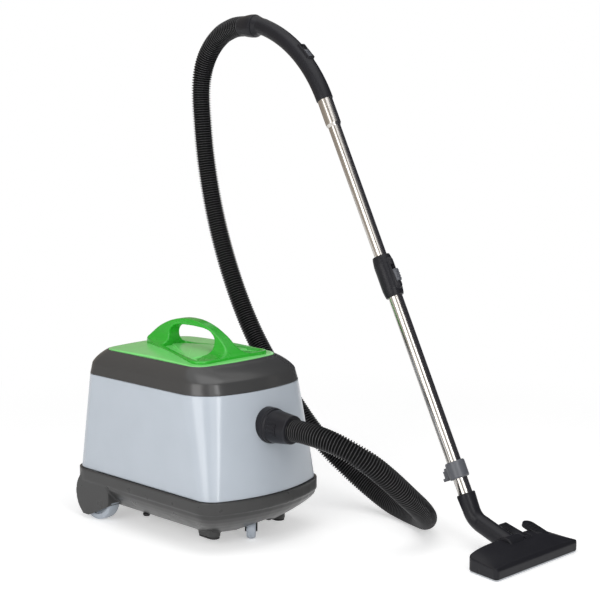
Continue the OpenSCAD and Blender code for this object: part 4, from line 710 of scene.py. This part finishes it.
def knuckle(name, x0, x1, circles):
    """A moulded lug between two places along the pin, from circles in the side view."""
    ends = [(x0 + a * KNUCKLE_EDGE, b * KNUCKLE_EDGE) for a, b in EDGE]
    ends += [(x1 - a * KNUCKLE_EDGE, b * KNUCKLE_EDGE) for a, b in EDGE[::-1]]
    rings = []
    for x, inward in ends:
        side = round_hull([(y, z, r - inward * KNUCKLE_EDGE_IN) for y, z, r in circles], KNUCKLE_STEPS)
        rings.append(np.column_stack([np.full(len(side), x), side]) - np.array(BODY_ORIGIN))
    return mesh_piece(name, np.vstack(rings), capped_faces(len(rings), KNUCKLE_STEPS))


barrel = (HINGE_Y, HINGE_Z, KNUCKLE_R)
# The shell's lug runs down the rear wall, and the lid's lug lies against the rear of the band
shell_lug = [barrel]
shell_lug += [(HINGE_Y - inward * MM, RIM_Z - down * MM, TIP_R) for inward, down in ((12.2, 5), (9.6, 33))]
lid_lug = [barrel]
lid_lug += [(HINGE_Y - 12.6 * MM, HINGE_Z + up * MM, TIP_R) for up in (2.2, 5.8)]
third = HINGE_LEN / 3
for side, hinge_x in (("left", -HINGE_X), ("right", HINGE_X)):
    for place, x0 in (("outer", hinge_x - HINGE_LEN / 2), ("inner", hinge_x + third / 2)):
        lug = knuckle(f"shell_knuckle_{side}_{place}", x0, x0 + third, shell_lug)
        dressed(lug, "root", "shell_grey")
    lug = knuckle(f"lid_knuckle_{side}", hinge_x - third / 2 + GAP, hinge_x + third / 2 - GAP, lid_lug)
    dressed(lug, "lid", "charcoal_plastic")
print("knuckle length in mm:", round(third / MM, 1))

# %% [markdown]
# ### The dust bag
# The bag is a fleece pillow, blown up by the air stream, with its mouth at the card collar.
# It takes the space that the frame gives it. Folds run out from the mouth and die away along the
# bag, and a seam draws a line round its sides, so it doesn't look like a block. A formula is
# enough for that: a squared-off ellipse that closes at both ends, with waves and a groove in it.

# %% Dust bag
BAG_STEPS = 56
BAG_SIDES = 120
# The shares of the frame's box that the bag fills across and along
FILL_ACROSS = 0.97
FILL_ALONG = 0.99
# Powers of cosine and sine: 1 gives an ellipse, and less gives a squarer section
SQUARED_X = 0.5
SQUARED_Z = 0.62
# How late and how bluntly the section closes towards the ends, and what is left of it there
CLOSE_LATE = 3.4
CLOSE_BLUNT = 0.42
END_SIZE = 0.02
FOLDS = 13
FOLD_DEPTH = 0.045
FOLD_TWIST = 2.0
SEAM_DEPTH = 0.03
SEAM_WIDTH = 0.035
bag_low, bag_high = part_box("dust_bag")
bag_middle = (bag_low + bag_high) / 2
bag_half = (bag_high - bag_low) / 2


def squared(share, power):
    """A cosine or sine moved outward by a power below 1, with its sign kept."""
    return math.copysign(abs(share) ** power, share)


def bag_point(along, turn):
    """A point of the bag's skin, from -1 at the mouth to 1 along it and at an angle round it."""
    pinch = (1 - abs(along) ** CLOSE_LATE) ** CLOSE_BLUNT
    fold = 1 - FOLD_DEPTH * (0.5 - along / 2) * (1 + math.cos(FOLDS * turn + FOLD_TWIST * along))
    seam = 1 - SEAM_DEPTH * math.exp(-((turn % math.pi) / SEAM_WIDTH) ** 2)
    size = max(pinch, END_SIZE) * fold * seam
    x = squared(math.cos(turn), SQUARED_X) * bag_half.x * FILL_ACROSS
    z = squared(math.sin(turn), SQUARED_Z) * bag_half.z * FILL_ACROSS
    return bag_middle.x + x * size, bag_middle.y + along * bag_half.y * FILL_ALONG, bag_middle.z + z * size


bag_points = [bag_point(-1 + 2 * i / BAG_STEPS, 2 * math.pi * k / BAG_SIDES)
              for i in range(BAG_STEPS + 1) for k in range(BAG_SIDES)]
bag = mesh_piece("fleece_dust_bag", bag_points, capped_faces(BAG_STEPS + 1, BAG_SIDES))
dressed(bag, "root", "bag_cloth", "dust_bag")
print("bag in mm:", [round(v / MM) for v in 2 * bag_half])

# %% [markdown]
# ### Soft-edged mouldings
# The base, the handle, the hand grip, the head of the floor tool and its neck are thick mouldings
# with generous radii, where surfaces flow into each other. Rounding them edge by edge is fragile.
# Melting is not: the frame's own part is turned into small even cells and smoothed a few times,
# which wears every edge down to a radius and leaves broad surfaces where they were.

# %% Melted copies of frame parts
JOIN_WITHIN = 0.002 * MM


def copy_of(part, name):
    """A new object with a frame part's mesh, its corners joined."""
    mesh = nodes[part].data.copy()
    work = bmesh.new()
    work.from_mesh(mesh)
    bmesh.ops.remove_doubles(work, verts=work.verts, dist=JOIN_WITHIN)
    work.to_mesh(mesh)
    work.free()
    piece = bpy.data.objects.new(name, mesh)
    scene.collection.objects.link(piece)
    return piece


def apply_modifiers(piece):
    """Bakes a piece's modifiers into its mesh and shades it smooth."""
    graph = bpy.context.evaluated_depsgraph_get()
    piece.data = bpy.data.meshes.new_from_object(piece.evaluated_get(graph))
    piece.modifiers.clear()
    piece.data.polygons.foreach_set("use_smooth", [True] * len(piece.data.polygons))


def melted(part, name, body, cell_mm, rounds, swell_mm=0.0, reshape=None):
    """A soft-edged copy of a frame part that stands for it. Swelling makes up for what smoothing takes."""
    piece = copy_of(part, name)
    remesh = piece.modifiers.new("cells", "REMESH")
    remesh.mode = "VOXEL"
    remesh.voxel_size = cell_mm * MM
    apply_modifiers(piece)
    if reshape:
        reshape(piece.data)
    smooth = piece.modifiers.new("wear", "SMOOTH")
    smooth.factor = 0.5
    smooth.iterations = rounds
    swell = piece.modifiers.new("swell", "DISPLACE")
    swell.mid_level = 0
    swell.strength = swell_mm * MM
    apply_modifiers(piece)
    dressed(piece, body, node_slot[part], part)
    print(name, "faces:", len(piece.data.polygons))
    return piece


# %% [markdown]
# ### The dome of the floor tool
# The head's top in the frame is where a side outline and a front outline cross, which leaves a
# ridge towards each front corner. The real one is a broad dome that falls away to the front lip
# and to both ends. Modelling it anew would lose the pedals' recesses. So the cells above the lip
# are scaled up or down instead, by what the dome's height is to the frame's at that place. It is
# done before the smoothing, so that no dent stays where the ridge was.

# %% Dome of the floor tool
# The tool's middle, its front edge and its size, in the body's own axes
TOOL_X = 279 * MM
TOOL_FRONT = -738 * MM
TOOL_DEPTH = 86 * MM
TOOL_HALF_W = 141 * MM
LIP_Z = 20 * MM
# The frame's side outline: a slope as (y, z) from its foot to its end, then a round cap
SLOPE_FROM = np.array([-736, 23.2]) * MM
SLOPE_TO = np.array([-702.8, 47.4]) * MM
TOP_Y = -672 * MM
TOP_R = 50 * MM
TOP_Z = 58 * MM
# The frame's front outline: a cosine, raised to a power, from the top down to the ends
END_H = 27 * MM
FRAME_POWER = 1.3
FRAME_SPARE_W = 2 * MM
FRAME_SPARE_H = 1 * MM
# The dome: its height at the rim and in the middle, and how late it falls to the ends and the front
DOME_EDGE = 26 * MM
DOME_TOP = 44 * MM
DOME_ACROSS_POWER = 4.6
DOME_BACK_POWER = 1.8
# Where the frame's top is near the lip, the scale means little and is kept within bounds
LEAST_RISE = 1 * MM
SCALE_LEAST = 0.4
SCALE_MOST = 1.3


def framed_height(x, y):
    """Height of the head's top in the frame, over a place counted from the tool's middle."""
    slope = np.interp(y, [SLOPE_FROM[0], SLOPE_TO[0]], [SLOPE_FROM[1], SLOPE_TO[1]])
    cap = TOP_Z - TOP_R + np.sqrt(np.maximum(TOP_R ** 2 - (y - TOP_Y) ** 2, 0))
    side = np.where(y < SLOPE_TO[0], slope, cap)
    share = np.clip(np.abs(x) / (TOOL_HALF_W + FRAME_SPARE_W), 0, 1)
    front = END_H + (TOP_Z + FRAME_SPARE_H - END_H) * np.cos(math.pi / 2 * share) ** FRAME_POWER
    return np.minimum(side, front)


def domed_height(x, y):
    """Height of the real head's top: a broad dome, low at the front lip and at both ends."""
    across = 1 - np.clip(np.abs(x) / TOOL_HALF_W, 0, 1) ** DOME_ACROSS_POWER
    back = 1 - (1 - np.clip((y - TOOL_FRONT) / TOOL_DEPTH, 0, 1)) ** DOME_BACK_POWER
    return DOME_EDGE + (DOME_TOP - DOME_EDGE) * across * back


def domed(mesh):
    """Moves the points above the lip up or down, as the smooth height stands to the frame's."""
    places = np.zeros(len(mesh.vertices) * 3)
    mesh.vertices.foreach_get("co", places)
    places = places.reshape(-1, 3)
    x = places[:, 0] + BODY_ORIGIN.x - TOOL_X
    y = places[:, 1] + BODY_ORIGIN.y
    scale = (domed_height(x, y) - LIP_Z) / np.maximum(framed_height(x, y) - LIP_Z, LEAST_RISE)
    above = np.maximum(places[:, 2] - LIP_Z, 0)
    places[:, 2] += above * (np.clip(scale, SCALE_LEAST, SCALE_MOST) - 1)
    mesh.vertices.foreach_set("co", places.ravel())
    mesh.update()


print("dome height in mm:", round(DOME_TOP / MM))

# %% Soft-edged parts
# The size of the cells in mm and the rounds of smoothing set how soft a part's edges get.
# The base has a darker, duller charcoal than the lid.
base = melted("base_tub", "moulded_base", "root", 1.8, 6)
base.data.materials[0] = base_abs
melted("carry_handle", "green_carry_handle", "lid", 1.8, 12)
melted("head_shell", "floor_tool_head", "floor_head", 1.4, 8, reshape=domed)
melted("tool_neck", "floor_tool_neck", "lower_wand", 1.3, 6, 0.6)
melted("hand_grip", "bent_hand_grip", "root", 1.4, 4)
melted("clamp_sleeve", "wand_clamp_sleeve", "lower_wand", 1.0, 4)
melted("parking_hook", "wand_parking_hook", "lower_wand", 0.8, 3)

# %% [markdown]
# ### Rounded edges on the rest
# Small rigid parts keep their frame mesh, with a bevel of about half a millimetre on each edge.
# Flat faces are joined first, so that the bevel has clean corners to work on.

# %% Bevelled copies of frame parts
# Faces that meet at less than this count as one flat face
FLAT_WITHIN = math.radians(0.6)
# Edges sharper than this are rounded, so that a round part's facets stay as they are
SHARP_FROM = math.radians(32)
BEVEL_SEGMENTS = 3


def bevelled(part, name, body, width_mm):
    """A copy of a frame part with its sharp edges rounded."""
    piece = copy_of(part, name)
    work = bmesh.new()
    work.from_mesh(piece.data)
    bmesh.ops.dissolve_limit(work, angle_limit=FLAT_WITHIN, verts=work.verts, edges=work.edges)
    work.to_mesh(piece.data)
    work.free()
    bevel = piece.modifiers.new("edges", "BEVEL")
    bevel.width = width_mm * MM
    bevel.segments = BEVEL_SEGMENTS
    bevel.limit_method = "ANGLE"
    bevel.angle_limit = SHARP_FROM
    bevel.use_clamp_overlap = True
    bevel.harden_normals = False
    weighted = piece.modifiers.new("shade", "WEIGHTED_NORMAL")
    weighted.keep_sharp = False
    apply_modifiers(piece)
    dressed(piece, body, node_slot[part], part)


body_of_node = {}
for body, names in frame["record"]["behaviour"]["bodies"].items():
    for name in names:
        body_of_node[name] = body
# The width of each part's bevel in mm
BEVELS = {
    "inlet_socket": 0.8, "inlet_cuff": 0.8, "cuff_button_left": 0.6, "cuff_button_right": 0.6,
    "grip_cuff": 0.8, "air_slider": 0.5, "clamp_button": 0.6, "pedal_flat": 0.7, "pedal_round": 0.8,
    "wheel_left": 0.8, "wheel_right": 0.8, "caster_fork": 0.6, "caster_wheel": 0.8,
    "rubber_feet": 0.8, "switch_frame": 0.6, "power_switch": 0.6, "cord_gland": 0.5,
    "exhaust_grille": 0.4,
}
for part, width_mm in BEVELS.items():
    bevelled(part, "rounded_" + part, body_of_node[part], width_mm)
print("bevelled parts:", len(BEVELS))

# %% [markdown]
# ## The studio
# A white floor runs out into a white world. Both are lit only as much as the machine needs, and
# then made to look white for camera rays and for mirror-like and see-through ones, so that the
# background adds no light of its own and the floor keeps the machine's shadow.

# %% Studio: world and floor
scene.view_settings.view_transform = "Standard"
WHITE_FOR = ("Is Camera Ray", "Is Transmission Ray", "Is Glossy Ray")
FILL = 0.42
FLOOR_R = 9.0
FLOOR_LIFT = 0.42
# The floor lies this little below the machine, so that no face of theirs coincides
FLOOR_SINK = 0.5 * MM
# Distances from the middle at which the shaded floor starts to fade, and has become plain white
FADE_FROM = 0.8
FADE_TO = 1.9
PURE_WHITE = (1, 1, 1, 1)


def is_one_of(tree, kinds):
    """A socket that is 1 for rays of any of these kinds and 0 for all other rays."""
    light_path = add_node(tree, "ShaderNodeLightPath")
    answer = light_path.outputs[kinds[0]]
    for kind in kinds[1:]:
        larger = add_node(tree, "ShaderNodeMath", {"operation": "MAXIMUM"}, {
            0: answer, 1: light_path.outputs[kind]})
        answer = larger.outputs["Value"]
    return answer


world = bpy.data.worlds.new("studio")
scene.world = world
world.use_nodes = True
world.node_tree.nodes.clear()
strength = add_node(world.node_tree, "ShaderNodeMapRange", inputs={
    "Value": is_one_of(world.node_tree, WHITE_FOR), "To Min": FILL, "To Max": 1.0})
sky = add_node(world.node_tree, "ShaderNodeBackground", inputs={
    "Color": PURE_WHITE, "Strength": strength.outputs["Result"]})
add_node(world.node_tree, "ShaderNodeOutputWorld", inputs={"Surface": sky.outputs["Background"]})

bpy.ops.mesh.primitive_circle_add(
    vertices=96, radius=FLOOR_R, fill_type="NGON", location=(0, 0, -FLOOR_SINK))
floor = bpy.context.object
floor.name = "studio_floor"
floor_paint, tree, output = new_material("white_studio_floor")
place = add_node(tree, "ShaderNodeTexCoord").outputs["Object"]
distance = add_node(tree, "ShaderNodeVectorMath", {"operation": "LENGTH"}, {"Vector": place})
fade = add_node(tree, "ShaderNodeMapRange", {"interpolation_type": "SMOOTHSTEP"}, {
    "Value": distance.outputs["Value"], "From Min": FADE_FROM, "From Max": FADE_TO})
paint = add_node(tree, "ShaderNodeBsdfDiffuse", inputs={"Color": linear("#F7F7F7")})
lift = add_node(tree, "ShaderNodeMath", {"operation": "MULTIPLY"}, {
    0: is_one_of(tree, WHITE_FOR), 1: FLOOR_LIFT})
glow = add_node(tree, "ShaderNodeEmission", inputs={"Color": PURE_WHITE, "Strength": lift.outputs["Value"]})
lit = add_node(tree, "ShaderNodeAddShader", inputs={0: paint.outputs["BSDF"], 1: glow.outputs["Emission"]})
white = add_node(tree, "ShaderNodeEmission", inputs={"Color": PURE_WHITE, "Strength": 1.0})
blend = add_node(tree, "ShaderNodeMixShader", inputs={
    "Fac": fade.outputs["Result"], 1: lit.outputs["Shader"], 2: white.outputs["Emission"]})
tree.links.new(blend.outputs["Shader"], output.inputs["Surface"])
floor.data.materials.append(floor_paint)
print("floor is plain white beyond metres:", FADE_TO)

# %% [markdown]
# ### Lamps and screens
# Two tall soft boxes stand left and right of the camera and a large one hangs overhead. The left
# box is wide and the right one narrow, which draws the two upright lights on the body's front
# corner. A round screen in strips of warm grey, white and near black gives the chromed tubes their
# long lines and keeps the black plastic black. Only mirror-like rays see it, so it adds no light.

# %% Studio: lamps
LOOK_AT = Vector((0.0, 0.0, 0.45))


def soft_box(name, azimuth, height, distance, wide, tall, radiance):
    """An area light of a given brightness, aimed at the machine. Its watts follow from its area."""
    data = bpy.data.lights.new(name, "AREA")
    data.shape = "RECTANGLE"
    data.size = wide
    data.size_y = tall
    data.energy = radiance * wide * tall * math.pi
    lamp = bpy.data.objects.new(name, data)
    scene.collection.objects.link(lamp)
    a = math.radians(azimuth)
    lamp.location = Vector((math.sin(a) * distance, -math.cos(a) * distance, height))
    lamp.rotation_mode = "QUATERNION"
    lamp.rotation_quaternion = (LOOK_AT - lamp.location).to_track_quat("-Z", "Y")


soft_box("left_soft_box", azimuth=-82, height=0.9, distance=2.6, wide=1.3, tall=2.2, radiance=3.2)
soft_box("right_strip_light", azimuth=-22, height=0.9, distance=2.6, wide=0.4, tall=2.2, radiance=7.0)
soft_box("overhead_soft_box", azimuth=-45, height=2.9, distance=0.5, wide=2.2, tall=2.2, radiance=1.4)
print("lamps:", len(bpy.data.lights))

# %% Studio: screens for the reflections
SCREEN_R = 3.6
SCREEN_FOOT = -0.6
SCREEN_TOP = 4.5
SCREEN_STEPS = 12


def surround(name, start, end, colour, strength=1.0):
    """A strip of a round screen, between two azimuths. Only mirror-like rays see it."""
    azimuths = np.radians(np.linspace(start, end, SCREEN_STEPS + 1))
    verts = [(math.sin(a) * SCREEN_R, -math.cos(a) * SCREEN_R, z)
             for z in (SCREEN_FOOT, SCREEN_TOP) for a in azimuths]
    count = len(azimuths)
    strip = mesh_piece(name, verts, [(i, i + 1, count + i + 1, count + i) for i in range(count - 1)])
    paint, tree, output = new_material(name + "_paint")
    shine = add_node(tree, "ShaderNodeEmission", inputs={"Color": linear(colour), "Strength": strength})
    tree.links.new(shine.outputs["Emission"], output.inputs["Surface"])
    strip.data.materials.append(paint)
    strip.visible_camera = False
    strip.visible_diffuse = False
    strip.visible_shadow = False
    strip.visible_transmission = False


surround("warm_screen", -225, -120, "#A89F95")
surround("grey_screen", -120, -60, "#C2BCB4")
surround("dark_line", -60, -46, "#6C6966")
surround("bright_strip", -46, -26, "#FFFFFF", 1.6)
surround("soft_grey_screen", -26, -8, "#8C8C90")
surround("dark_screen", -8, 130, "#3A3B42")
print("screen radius in metres:", SCREEN_R)
